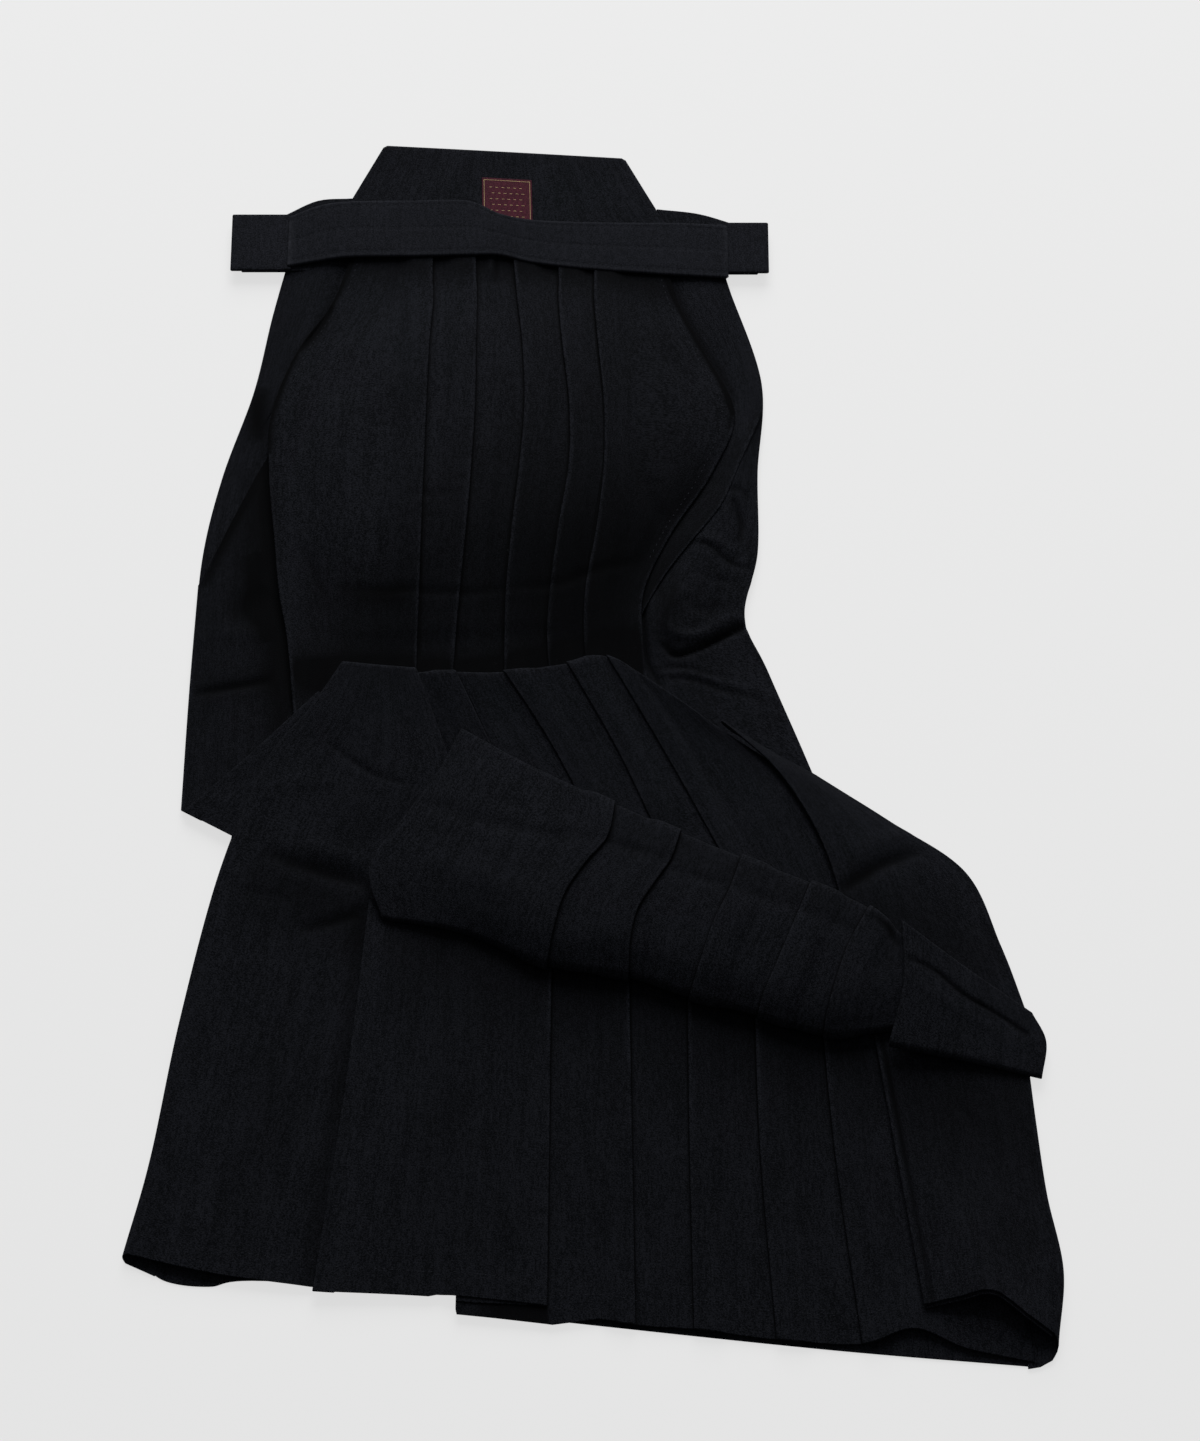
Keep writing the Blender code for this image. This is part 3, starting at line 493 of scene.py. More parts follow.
def newPiece(name, points, faces, material, nodes, uv=None, crest=None):
    mesh = bpy.data.meshes.new(name)
    mesh.from_pydata(((points - tableMiddle) * mm).tolist(), [], faces)
    mesh.materials.append(material)
    mesh.polygons.foreach_set("use_smooth", np.ones(len(mesh.polygons), dtype=bool))
    mesh.update()
    mesh.set_sharp_from_angle(angle=math.radians(cloth["sharpAngle"]))
    if uv is not None:
        corner = np.zeros(len(mesh.loops), dtype=int)
        mesh.loops.foreach_get("vertex_index", corner)
        mesh.uv_layers.new(name="weave").data.foreach_set("uv", (uv[corner] * mm).ravel())
    # The crest attribute carries pressing wear, painted highlight on folds, and painted shade in hollows
    # and bands.
    if crest is not None:
        wornAndPaintedLight = mesh.attributes.new("crest", "FLOAT", "POINT")
        wornAndPaintedLight.data.foreach_set("value", crest.astype(np.float32))
    piece = newObject(name, mesh)
    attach(piece, "root")
    if nodes:
        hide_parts(*nodes)
    return piece


# A wall of cloth on its middle surface: P + n w/2 outside and P - n w/2 inside.
def wallPiece(name, grid, wall, material, nodes, crest=None, rims=1):
    normal = gridNormals(grid)
    outer, inner = grid + normal * wall / 2, grid - normal * wall / 2
    a = np.pi * np.arange(1, rims + 1) / (rims + 1)
    points = closedPoints(outer, inner, (1 - np.cos(a)) / 2, wall / 2 * np.sin(a))
    faces = closedFaces(*grid.shape[:2], rims)
    u, v, size, area = clothLengths(grid)
    uv = closedUv(u, v, rims)
    wornAndPaintedLight = np.zeros(grid.shape[:2]) if crest is None else np.broadcast_to(crest, grid.shape[:2])
    piece = newPiece(name, points, faces, material, nodes, uv, closedValues(wornAndPaintedLight, rims))
    made[name] = {"piece": piece, "grid": grid, "normal": normal, "size": size, "area": area,
                  "step": float(np.linalg.norm(grid[-1] - grid[-2], axis=-1).mean())}


# Point and normal on a made cloth at a row and column that may lie between its own.
def onCloth(name, row, column):
    info = made[name]
    out = []
    for values in (info["grid"], info["normal"]):
        r0 = np.clip(np.floor(row).astype(int), 0, values.shape[0] - 2)
        c0 = np.clip(np.floor(column).astype(int), 0, values.shape[1] - 2)
        r, c = (row - r0)[:, None], (column - c0)[:, None]
        top = values[r0, c0] * (1 - c) + values[r0, c0 + 1] * c
        low = values[r0 + 1, c0] * (1 - c) + values[r0 + 1, c0 + 1] * c
        out.append(top * (1 - r) + low * r)
    return out[0], unit(out[1])


stitch = {"width": 0.5, "height": 0.22, "sunk": 0.15}
bandStitch = dict(stitch, pitch=3.9, length=1.7)
hemStitch = dict(stitch, pitch=5.2, length=1.7, height=0.16, fromHem=17.0, fromSlit=7.5, upright=0.75)
borderStitch = {"pitch": 1.0, "length": 1.1, "width": 0.4, "height": 0.14}
dashStitch = {"pitch": 4.4, "length": 2.3, "width": 0.42, "height": 0.14}


# Row of stitches along a path of points with normals: each is a low box with a smaller top,
# centre +/- length/2 along the row +/- width/2 across it, spaced by the pitch.
def stitchPoints(path, normal, lift, size):
    run = np.concatenate([[0], np.cumsum(np.linalg.norm(np.diff(path, axis=0), axis=1))])
    at = np.arange(size["pitch"] / 2, run[-1], size["pitch"])

    def spot(values, place):
        return np.column_stack([np.interp(place, run, values[:, axis]) for axis in range(3)])

    centre, up = spot(path, at), unit(spot(normal, at))
    along = unit(spot(path, at + 0.5) - spot(path, at - 0.5))
    across = np.cross(up, along)
    corner = np.array([[-1, -1, 0], [1, -1, 0], [1, 1, 0], [-1, 1, 0],
                       [-0.7, -0.55, 1], [0.7, -0.55, 1], [0.7, 0.55, 1], [-0.7, 0.55, 1]])
    l, w, h, sunk = size["length"] / 2, size["width"] / 2, size["height"], stitch["sunk"]
    points = (centre + up * lift)[:, None]
    points = points + along[:, None] * corner[:, 0:1] * l + across[:, None] * corner[:, 1:2] * w
    return (points + up[:, None] * (corner[:, 2:3] * (h + sunk) - sunk)).reshape(-1, 3)


def stitchPiece(name, rows, size, material):
    points = np.concatenate([stitchPoints(path, normal, lift, size) for path, normal, lift in rows])
    block = np.array([[0, 3, 2, 1], [4, 5, 6, 7], [0, 1, 5, 4],
                      [1, 2, 6, 5], [2, 3, 7, 6], [3, 0, 4, 7]])
    faces = (block[None] + 8 * np.arange(len(points) // 8)[:, None, None]).reshape(-1, 4).tolist()
    return newPiece(name, points, faces, material, ())


# Materials.

clothLook = {
    "base": (0.0013, 0.0016, 0.0022, 1.0),
    "light": (0.0086, 0.0093, 0.0121, 1.0),
    # lighter colour of crests and worn edges: pressing wear and painted highlight
    "crest": (0.0120, 0.0126, 0.0158, 1.0),
    # darker colour of painted shade in hollows and shaded bands
    "hollow": (0.0009, 0.0010, 0.0013, 1.0),
    "lint": (0.030, 0.031, 0.036, 1.0),
    "lintAmount": 0.35,
    "roughness": (0.84, 0.96),
    "specular": 0.03,
    "threads": 900.0,       # threads in a metre
    "streaks": 0.8,
    # how strongly crests are lightened: pressing wear and painted highlight
    "wearAndPaintedLight": 0.14,
    "bump": 0.55,
    "bumpDepth": 0.0003,
}


def groupWith(name, inputs, outputs):
    group = bpy.data.node_groups.new(name, "ShaderNodeTree")
    for label, kind, value in inputs:
        socket = group.interface.new_socket(label, in_out="INPUT", socket_type=kind)
        if value is not None:
            socket.default_value = value
    for label in outputs:
        group.interface.new_socket(label, in_out="OUTPUT", socket_type="NodeSocketFloat")
    return group, group.nodes.new("NodeGroupInput").outputs, group.nodes.new("NodeGroupOutput").inputs


# A socket takes a number, a colour or another node's output.
def feed(tree, socket, value):
    if isinstance(value, (int, float, tuple)):
        socket.default_value = value
    else:
        tree.links.new(value, socket)


def mathNode(tree, operation, *values):
    node = tree.nodes.new("ShaderNodeMath")
    node.operation = operation
    for socket, value in zip(node.inputs, values):
        feed(tree, socket, value)
    return node.outputs[0]


def times(tree, a, b):
    return mathNode(tree, "MULTIPLY", a, b)


def weighted(tree, a, shareOfA, b, shareOfB):
    return mathNode(tree, "ADD", times(tree, a, shareOfA), times(tree, b, shareOfB))


def feedAll(tree, node, values):
    for label, value in values.items():
        feed(tree, node.inputs[label], value)


def fedNode(tree, kind, values, output):
    node = tree.nodes.new(kind)
    feedAll(tree, node, values)
    return node.outputs[output]


def stretched(tree, vector, along):
    node = tree.nodes.new("ShaderNodeVectorMath")
    node.operation = "MULTIPLY"
    feed(tree, node.inputs[0], vector)
    feed(tree, node.inputs[1], (1.0, along, 1.0))
    return node.outputs[0]


def noiseNode(tree, vector, scale, detail, roughness):
    values = {"Vector": vector, "Scale": scale, "Detail": detail, "Roughness": roughness}
    return fedNode(tree, "ShaderNodeTexNoise", values, "Fac")


def spread(tree, value, low, high):
    values = {"Value": value, "From Min": low, "From Max": high}
    return fedNode(tree, "ShaderNodeMapRange", values, "Result")


# Twill: threads show where sin(2 pi n u') sin(2 pi n (v' + u' / 2)) is high, with u' and v'
# shifted by a slow noise. An uneven grain and slubs drawn out along v lie over it.
def makeWeave():
    group, source, result = groupWith(
        "twillWeave",
        [("Cloth", "NodeSocketVector", None), ("Threads", "NodeSocketFloat", 1100.0)],
        ["Tone", "Height"],
    )
    uv = source["Cloth"]
    split = group.nodes.new("ShaderNodeSeparateXYZ")
    feed(group, split.inputs[0], uv)
    angle = times(group, source["Threads"], 2 * math.pi)
    shift = mathNode(group, "MULTIPLY_ADD", noiseNode(group, uv, 210.0, 2.0, 0.6), 0.0022, -0.0011)
    u = mathNode(group, "ADD", split.outputs["X"], shift)
    v = mathNode(group, "SUBTRACT", split.outputs["Y"], shift)
    warp = mathNode(group, "SINE", times(group, u, angle))
    skew = mathNode(group, "MULTIPLY_ADD", u, 0.5, v)
    weft = mathNode(group, "SINE", times(group, skew, angle))
    thread = mathNode(group, "MULTIPLY_ADD", times(group, warp, weft), 0.5, 0.5)
    fuzz = noiseNode(group, uv, 900.0, 3.0, 0.8)
    slub = noiseNode(group, stretched(group, uv, 0.42), 420.0, 3.0, 0.65)
    grain = weighted(group, spread(group, fuzz, 0.36, 0.64), 0.75, spread(group, slub, 0.36, 0.64), 0.25)
    feed(group, result["Tone"], weighted(group, thread, 0.14, grain, 0.86))
    feed(group, result["Height"], weighted(group, thread, 0.25, grain, 0.75))
    return group


# Streaks along the threads: noise drawn out down the cloth, with slower patches over it.
def makeStreaks():
    group, source, result = groupWith(
        "clothStreaks",
        [("Cloth", "NodeSocketVector", None), ("Strength", "NodeSocketFloat", 0.5)],
        ["Tone"],
    )
    uv = source["Cloth"]
    fine = noiseNode(group, stretched(group, uv, 0.13), 460.0, 3.0, 0.65)
    broad = noiseNode(group, stretched(group, uv, 0.12), 130.0, 3.0, 0.6)
    patch = noiseNode(group, uv, 24.0, 3.0, 0.6)
    mixed = weighted(group, spread(group, fine, 0.32, 0.68), 0.35, spread(group, broad, 0.34, 0.7), 0.4)
    mixed = mathNode(group, "MULTIPLY_ADD", spread(group, patch, 0.3, 0.7), 0.25, mixed)
    centred = mathNode(group, "SUBTRACT", mixed, 0.5)
    feed(group, result["Tone"], mathNode(group, "MULTIPLY_ADD", centred, source["Strength"], 0.5))
    return group


# Lint: small light specks where a fine noise is highest, fewer where a slow one is low.
def makeLint():
    group, source, result = groupWith(
        "lintSpecks",
        [("Place", "NodeSocketVector", None), ("Amount", "NodeSocketFloat", 0.3)],
        ["Mask"],
    )
    fine = noiseNode(group, source["Place"], 520.0, 2.0, 0.6)
    slow = noiseNode(group, source["Place"], 22.0, 2.0, 0.5)
    mask = times(group, spread(group, fine, 0.70, 0.80), spread(group, slow, 0.45, 0.65))
    feed(group, result["Mask"], times(group, mask, source["Amount"]))
    return group


# Pressing wear and painted highlight on folds: the crest attribute above 0, broken up by noise along it.
# Below 0 it is painted shade in hollows and bands.
def makeWearAndPaintedLight():
    group, source, result = groupWith(
        "foldWearAndPaintedLight",
        [("Crest", "NodeSocketFloat", 0.0), ("Place", "NodeSocketVector", None),
         ("Amount", "NodeSocketFloat", 0.6)],
        ["Mask", "Hollow"],
    )
    broken = noiseNode(group, source["Place"], 190.0, 3.0, 0.6)
    slow = noiseNode(group, source["Place"], 17.0, 2.0, 0.5)
    level = times(group, spread(group, broken, 0.25, 0.6), spread(group, slow, 0.25, 0.6))
    wornAndPaintedLight = mathNode(group, "MAXIMUM", source["Crest"], 0.0)
    feed(group, result["Mask"], times(group, times(group, wornAndPaintedLight, level), source["Amount"]))
    sunk = mathNode(group, "MAXIMUM", times(group, source["Crest"], -1.0), 0.0)
    feed(group, result["Hollow"], times(group, sunk, 0.85))
    return group


groups = {"weave": makeWeave(), "streaks": makeStreaks(), "lint": makeLint(), "wearAndPaintedLight": makeWearAndPaintedLight()}


def placed(tree, group, values):
    node = tree.nodes.new("ShaderNodeGroup")
    node.node_tree = group
    feedAll(tree, node, values)
    return node.outputs


def mixColour(tree, factor, a, b):
    node = tree.nodes.new("ShaderNodeMix")
    node.data_type = "RGBA"
    for index, value in ((0, factor), (6, a), (7, b)):
        feed(tree, node.inputs[index], value)
    return node.outputs[2]


# Cloth: base and light shade by weave and streaks, crests lighter as pressing wear and painted highlight,
# lint lighter, hollows and shaded bands darker as painted shade, bump from the weave.
def clothMaterial(name, look):
    material, tree, shader = newMaterial(name)
    uvNode = tree.nodes.new("ShaderNodeUVMap")
    uvNode.uv_map = "weave"
    uv = uvNode.outputs[0]
    place = tree.nodes.new("ShaderNodeTexCoord").outputs["Object"]
    crestNode = tree.nodes.new("ShaderNodeAttribute")
    crestNode.attribute_name = "crest"
    crest = crestNode.outputs["Fac"]
    weave = placed(tree, groups["weave"], {"Cloth": uv, "Threads": look["threads"]})
    streaks = placed(tree, groups["streaks"], {"Cloth": uv, "Strength": look["streaks"]})
    wearAndPaintedLight = placed(tree, groups["wearAndPaintedLight"], {"Crest": crest, "Place": place, "Amount": look["wearAndPaintedLight"]})
    lint = placed(tree, groups["lint"], {"Place": place, "Amount": look["lintAmount"]})
    tone = weighted(tree, weave["Tone"], 0.66, streaks["Tone"], 0.34)
    colour = mixColour(tree, spread(tree, tone, 0.37, 0.65), look["base"], look["light"])
    for mask, finish in ((wearAndPaintedLight["Mask"], "crest"), (wearAndPaintedLight["Hollow"], "hollow"), (lint["Mask"], "lint")):
        colour = mixColour(tree, mask, colour, look[finish])
    low, high = look["roughness"]
    bump = {"Strength": look["bump"], "Distance": look["bumpDepth"], "Height": weave["Height"]}
    feedAll(tree, shader, {
        "Base Color": colour,
        "Roughness": mathNode(tree, "MULTIPLY_ADD", streaks["Tone"], high - low, low),
        "Normal": fedNode(tree, "ShaderNodeBump", bump, "Normal"),
        "Specular IOR Level": look["specular"],
    })
    return material


bandLook = dict(
    clothLook, base=(0.0032, 0.0036, 0.0047, 1.0), light=(0.0104, 0.0111, 0.0144, 1.0), streaks=0.5,
    wearAndPaintedLight=0.45, crest=(0.0200, 0.0210, 0.0260, 1.0),
)
threadLook = dict(clothLook, base=(0.0110, 0.0118, 0.0150, 1.0), light=(0.0230, 0.0245, 0.0300, 1.0))
labelLook = dict(
    clothLook, base=(0.024, 0.004, 0.008, 1.0), light=(0.052, 0.010, 0.018, 1.0),
    crest=(0.08, 0.02, 0.03, 1.0), lint=(0.1, 0.06, 0.06, 1.0), specular=0.05, roughness=(0.6, 0.8),
)
goldLook = dict(
    clothLook, base=(0.30, 0.21, 0.095, 1.0), light=(0.48, 0.37, 0.19, 1.0),
    crest=(0.3, 0.25, 0.15, 1.0), lint=(0.3, 0.25, 0.2, 1.0), specular=0.15, roughness=(0.5, 0.7),
)
navyCloth = clothMaterial("navyCloth", clothLook)
bandCloth = clothMaterial("bandCloth", bandLook)
navyThread = clothMaterial("navyThread", threadLook)
maroonLabel = clothMaterial("maroonLabel", labelLook)
goldThread = clothMaterial("goldThread", goldLook)
print("materials made")


# Upper front, under the waistband.

upperFront = {
    "under": 11.0,
    "facingRight": (2, 3), "middlePleat": 4, "facingLeft": (5, 6),
    "hollow": (1.7, 1.7),       # how wide the hollows are, at the left pleats and at the others
    "leftDown": (26.0, 10.0),   # further length of the left edge and rib under the next stretch
    "x": (
        # y, left, rib, pleat 1 to 5, rib, right
        (388, -179, -150, -123, -92, -65, -31, -5, 15, 38),
        (354, -188, -153, -123, -91, -62, -30, -4, 24, 51),
        (330, -197, -159, -122, -90, -60, -30, -4, 30, 58),
        (290, -221, -172, -124, -90, -56, -27, -1, 41, 76),
        (240, -237, -181, -125, -90, -54, -22, 3, 54, 97),
        (190, -237, -182, -126, -92, -57, -22, 3, 46, 80),
        (142, -232, -180, -127, -95, -62, -29, -2, 28, 51),
        (96, -227, -178, -128, -99, -66, -35, -10, 12, 31),
        (58, -220, -175, -129, -102, -67, -37, -11, 12, 30),
        (18, -213, -172, -129, -104, -67, -34, -8, 15, 34),
    ),
    "z": (
        (8.2, 7.8, 7.6, 7.6, 7.6, 7.6, 7.6, 7.8, 8.0),
        (9.0, 10.0, 10.4, 10.4, 10.4, 10.4, 10.4, 10.2, 9.4),
        (8.9, 12.4, 14.6, 15.0, 15.0, 15.0, 14.4, 12.4, 9.2),
        (9.0, 18.6, 21.6, 22.4, 22.4, 22.4, 21.4, 18.0, 10.2),
        (9.2, 21.8, 25.0, 25.8, 26.2, 26.0, 25.0, 20.6, 11.0),
        (9.4, 22.4, 26.2, 27.0, 27.2, 26.8, 25.2, 20.8, 12.0),
        (9.4, 20.2, 24.6, 25.4, 25.2, 24.6, 22.8, 18.4, 12.5),
        (9.0, 13.8, 16.4, 17.0, 17.0, 16.6, 15.6, 13.8, 12.0),
        (8.6, 8.8, 9.2, 9.4, 9.4, 9.4, 9.4, 9.8, 10.2),
        (8.4, 7.8, 7.4, 7.4, 7.4, 7.4, 7.4, 7.8, 9.0),
    ),
}


def upperLines():
    x = np.array(upperFront["x"], dtype=float)
    z = np.array(upperFront["z"], dtype=float)
    lines = [np.column_stack([x[:, k + 1], x[:, 0], z[:, k]]) for k in range(z.shape[1])]
    for line, more in zip(lines, upperFront["leftDown"]):
        line[-1, 1] -= more
    return lines


# Height given to all layers alike by the creases and, where the cloth lies high enough to be
# loose, by the slow unevenness. It sinks no layer into the surface below.
def settle(grid, table):
    x, y = grid[..., 0], grid[..., 1]
    lift, wearAndPaintedLight = creaseHeight(x, y, table)
    share = np.clip((grid[..., 2] - loose["from"]) / loose["over"], 0, 1)
    grid = grid.copy()
    settled = grid[..., 2] + lift + share * unevenness(x, y)
    kept = np.minimum(grid[..., 2], loose["flat"])
    grid[..., 2] = np.maximum(np.maximum(settled, kept), loose["lowest"])
    return grid, wearAndPaintedLight


def crease(line, depth, left, right=None, wornAndPaintedLight=0.0, taper=0.5):
    return {"line": line, "depth": depth, "width": (left, right or left), "wornAndPaintedLight": wornAndPaintedLight, "taper": taper}


# Band of painted shade, darker cloth, or of painted light, lighter cloth, with no height of its own.
def shade(line, left, right, wornAndPaintedLight, taper=0.5):
    return crease(line, 0.0, left, right, wornAndPaintedLight, taper)


# The bands are painted shade under the waistband, over the dome's lower part, before the ridge and along
# the slit edges; darkened creases carry painted shade.
upperCreases = [
    shade([(-215, 40), (-120, 62), (-40, 64), (20, 60)], 34.0, 30.0, -0.3, 0.2),
    shade([(-210, 364), (-120, 366), (-60, 364), (0, 360), (60, 348)], 12.0, 17.0, -0.8, 0.15),
    shade([(14, 420), (8, 280), (0, 120), (0, -40)], 75.0, 88.0, -0.38, 0.1),
    shade([(-160, 132), (-80, 128), (40, 112), (160, 96)], 77.0, 76.0, -0.66, 0.5),
    shade([(-165, 120), (-165, 2)], 48.0, 44.0, -0.5, 0.5),
    shade([(-250, 38), (-180, 34), (-100, 33), (-20, 42), (50, 60)], 12.0, 30.0, -1.2, 0.1),
    crease([(-212, 134), (-204, 112), (-198, 94), (-199, 78)], -1.3, 6.0, 5.0, -0.45),
    shade([(-189, 98), (-166, 93), (-131, 91)], 6.0, 8.0, -0.5),
    shade([(-183, 371), (-188, 354), (-197, 330), (-221, 290), (-237, 240), (-238, 205)], 2.2, 3.0,
          -2.6, 0.12),
    crease([(-196, 330), (-205, 313), (-219, 291)], -2.6, 6.5, 2.0, -1.2, 0.6),
    shade([(49, 358), (58, 330), (76, 290), (89, 264), (97, 240)], 3.0, 2.2, -2.6, 0.12),
    crease([(94, 256), (98, 240), (94, 222)], -1.6, 3.0, 4.5, -1.2, 0.6),
    crease([(80, 206), (70, 178), (48, 148)], -0.6, 4.0, 14.0, -0.45, 0.4),
    crease([(-146, 161), (-125, 166), (-99, 165)], -0.8, 2.6, 2.0, -0.25),
    crease([(-112, 157), (-97, 157)], -0.5, 2.2, 2.0, -0.15),
    crease([(-186, 96), (-128, 93), (-102, 91), (-56, 95)], -1.1, 3.4, 2.4, -0.25),
    crease([(-60, 95), (-28, 98), (-10, 106), (30, 119)], -1.1, 3.4, 2.4, -0.25),
    crease([(-205, 70), (-150, 66), (-90, 68), (-20, 74)], 0.9, 9.0, 7.0),
    crease([(-73, 232), (-73, 170), (-77, 139), (-77, 88)], -0.9, 3.5, 3.0, -0.12),
    crease([(-80, 376), (-81, 350)], 1.3, 2.6, 2.2, 0.15),
    crease([(-76, 372), (-76, 345)], -0.8, 2.0, 2.4, -0.3),
    crease([(-20, 250), (18, 190), (16, 130)], 0.8, 8.0, 8.0),
    crease([(-190, 250), (-196, 190), (-186, 130)], 0.9, 9.0, 9.0),
    crease([(34, 300), (60, 262), (66, 225)], -0.9, 6.0, 6.0),
    crease([(20, 200), (40, 150), (24, 105)], -1.6, 7.0, 6.0, -0.1),
]


def linesOf(table):
    return [np.array(line, dtype=float) for line in table["lines"].values()]


# Both halves of a stretch of the front. The left one ends under the fold that begins the right one.
def buildFront(stretch, table, lines, start, end, creases):
    under, (leftHollow, hollow) = table["under"], table["hollow"]
    left = [start]
    for line in table["facingRight"]:
        depth, *hems = table.get("deepPleats", {}).get(line, (under, 0.0, 0.0))
        left.append(pleatRight(line, depth, *hems, leftHollow))
    left.append(leftEnd(table["middlePleat"], under, hollow))
    right = [rightStart(table["middlePleat"], under)]
    right += [pleatLeft(line, under, hollow) for line in table["facingLeft"]] + [end]
    rows = sections(meanLength(lines), table.get("topTuck"), table.get("lowTuck"), table.get("step"))
    for side, parts in (("left", left), ("right", right)):
        path = joinPath(parts, spansOf(lines))
        path[:, 3] *= table.get("pressed", 1.0)
        grid = clothGrid(lines, rows, path, table.get("topBend"), table.get("lowBend"))
        grid, wearAndPaintedLight = settle(grid, creases)
        node = f"front_{stretch}_{side}"
        wallPiece("cloth_" + node, grid, cloth["wall"], navyCloth, [node], crest=wearAndPaintedLight + path[:, 4])


buildFront("upper", upperFront, upperLines(), foldLeft(0, cloth["edgeTuck"]),
           foldRight(8, cloth["edgeTuck"]), upperCreases)


# Second stretch, from the first ridge to under the second fold.

middleFront = {
    "under": 11.0,
    "facingRight": (1,), "middlePleat": 2, "facingLeft": (3, 4),
    "hollow": (1.6, 0.1),
    "pressed": 0.72,        # height of its pleats against the others
    "topTuck": cloth["foldTuck"], "topBend": [3.0] * 8,
    "lines": {
        "pleat1": ((-128, 27, 23.0), (-115, -8, 16.6), (-86, -52, 10.0)),
        "pleat2": ((-101, 27, 24.0), (-82, -13, 16.4), (-56, -68, 10.0)),
        "pleat3": ((-67, 27, 24.0), (-34, -25, 16.0), (0, -92, 10.0)),
        "pleat4": ((-23, 33, 25.0), (12, -30, 16.5), (48, -110, 10.0)),
        "pleat5": ((5, 38, 25.0), (45, -32, 16.5), (93, -124, 10.0)),
        "rib": ((46, 12, 24.5), (88, -42, 16.0), (130, -135, 10.0)),
        "edge": ((79, -13, 21.5), (115, -52, 15.0), (150, -142, 10.0)),
        "underFlap": ((113, -34, 13.5), (147, -66, 10.5), (177, -150, 8.5)),
    },
}
middleCreases = [
    crease([(56, 4), (84, -28), (112, -70)], 0.9, 9.0, 9.0),
    crease([(-95, 20), (-72, -20), (-50, -58)], 0.5, 6.0, 6.0),
]


innerTuck = cloth["innerTuck"]
middleStart = np.concatenate([point(0, -innerTuck), point(0, -innerTuck / 2), point(0)])
buildFront("middle", middleFront, linesOf(middleFront), middleStart, point(7), middleCreases)


# Strip that the second fold leaves on top.

stripFront = {
    "under": 14.0,
    "facingRight": (2, 3), "middlePleat": 4, "facingLeft": (5, 6),
    "hollow": (2.2, 1.4),
    "topTuck": cloth["foldTuck"], "lowTuck": cloth["foldTuck"], "step": 2.8,
    "topBend": (1.6, 3.0, 3.0, 3.0, 3.0, 3.0, 3.0, 3.0),
    "lowBend": (2.6, 3.6, 4.2, 4.2, 4.2, 4.2, 4.2, 3.8),
    "lines": {
        "left": ((-96, -17, 24.0), (-112, -50, 23.0), (-134, -82, 21.0), (-158, -118, 17.0),
                 (-149, -154.5, 12.6)),
        "rib": ((-46, -47, 26.5), (-69, -87, 28.2), (-84, -122, 27.0), (-91, -145, 22.6),
                (-96, -164.5, 15.2)),
        "pleat1": ((10, -75, 26.5), (5, -101, 28.4), (-10, -121, 29.2),
                   (-24, -143, 28.8), (-32, -169, 25.6), (-36, -189.5, 17.2)),
        "pleat2": ((55, -96, 26.5), (48, -118, 28.4), (36, -137, 29.2),
                   (25, -156, 28.8), (20, -178, 25.6), (19, -198, 17.2)),
        "pleat3": ((97, -115, 27), (88, -141, 29), (77, -165, 29.4), (68, -192, 26.0),
                   (61, -212.5, 17.2)),
        "pleat4": ((144, -134, 27), (131, -166, 29), (119, -195, 27.4), (111, -213, 23.6),
                   (107, -225.5, 17.2)),
        "pleat5": ((183, -152, 26), (168, -181, 28), (158, -210, 26.4), (153, -228, 22.6),
                   (151, -239.5, 17.0)),
        "underFlap": ((207, -172, 22.5), (212, -206, 22.0), (201, -236, 15.0)),
    },
}
# The band under the strip's top edge and the darkening along its creases are painted shade.
stripCreases = [
    shade([(4, -92), (60, -112), (105, -131), (150, -149), (200, -170)], 14.0, 11.0, -0.3, 0.15),
    crease([(-126, -70), (-90, -84), (-60, -94), (-20, -101), (4, -104)], -1.3, 3.2, 4.5, -0.2, 0.25),
    crease([(4, -104), (28, -112), (50, -119)], -1.3, 3.0, 4.5, -0.25, 0.25),
    crease([(50, -125), (68, -131), (86, -136)], -1.2, 3.0, 4.5, -0.25, 0.25),
    crease([(90, -139), (112, -146), (134, -153)], -1.1, 3.0, 4.5, -0.2, 0.25),
    crease([(134, -154), (154, -162), (174, -170)], -1.1, 3.0, 4.5, -0.2, 0.25),
    crease([(184, -158), (195, -166), (203, -182)], -1.4, 3.0, 3.0, -1.0),
    crease([(-136, -112), (-110, -118), (-70, -136), (-30, -150)], 1.0, 9.0, 12.0),
    crease([(-96, -40), (-70, -60), (-40, -72)], 0.8, 6.0, 6.0),
]


buildFront("strip", stripFront, linesOf(stripFront), foldLeft(0, cloth["edgeTuck"]), point(7),
           stripCreases)


# Last stretch of the front, from under the roll to the hem.

lowerFront = {
    "under": 14.0,
    "facingRight": (2, 3), "middlePleat": 4, "facingLeft": (5, 6),
    "hollow": (1.0, 1.0),
    # depth of the first pleat, how far its hem stands past its line, and its inner fold's drop
    "deepPleats": {2: (60.0, -3.0, 9.0)},
    "lines": {
        "left": ((-158, -140, 9.0), (-171, -275, 8.4), (-189, -417, 7.4)),
        "rib": ((-97, -142, 6.8), (-104, -280, 6.4), (-113, -421.5, 5.0)),
        "pleat1": ((-33, -150, 5.4), (-34, -290, 5.2), (-35, -429.5, 3.6)),
        "pleat2": ((19, -160, 5.4), (21, -300, 5.0), (23, -439, 3.4)),
        "pleat3": ((60, -170, 5.4), (60, -305, 5.0), (62, -442, 3.4)),
        "pleat4": ((105, -185, 5.4), (107, -315, 5.0), (116, -449, 3.4)),
        "pleat5": ((149, -200, 5.4), (157, -320, 5.0), (172, -452, 3.4)),
        "arch": ((184, -212, 4.6), (192, -328, 4.4), (206, -442, 5.8)),
        "underFlap": ((226, -226, 3.6), (230, -335, 3.4), (240, -455, 4.4)),
        "underEnd": ((272, -240, 2.6), (274, -340, 2.6), (284, -464, 2.6)),
    },
}
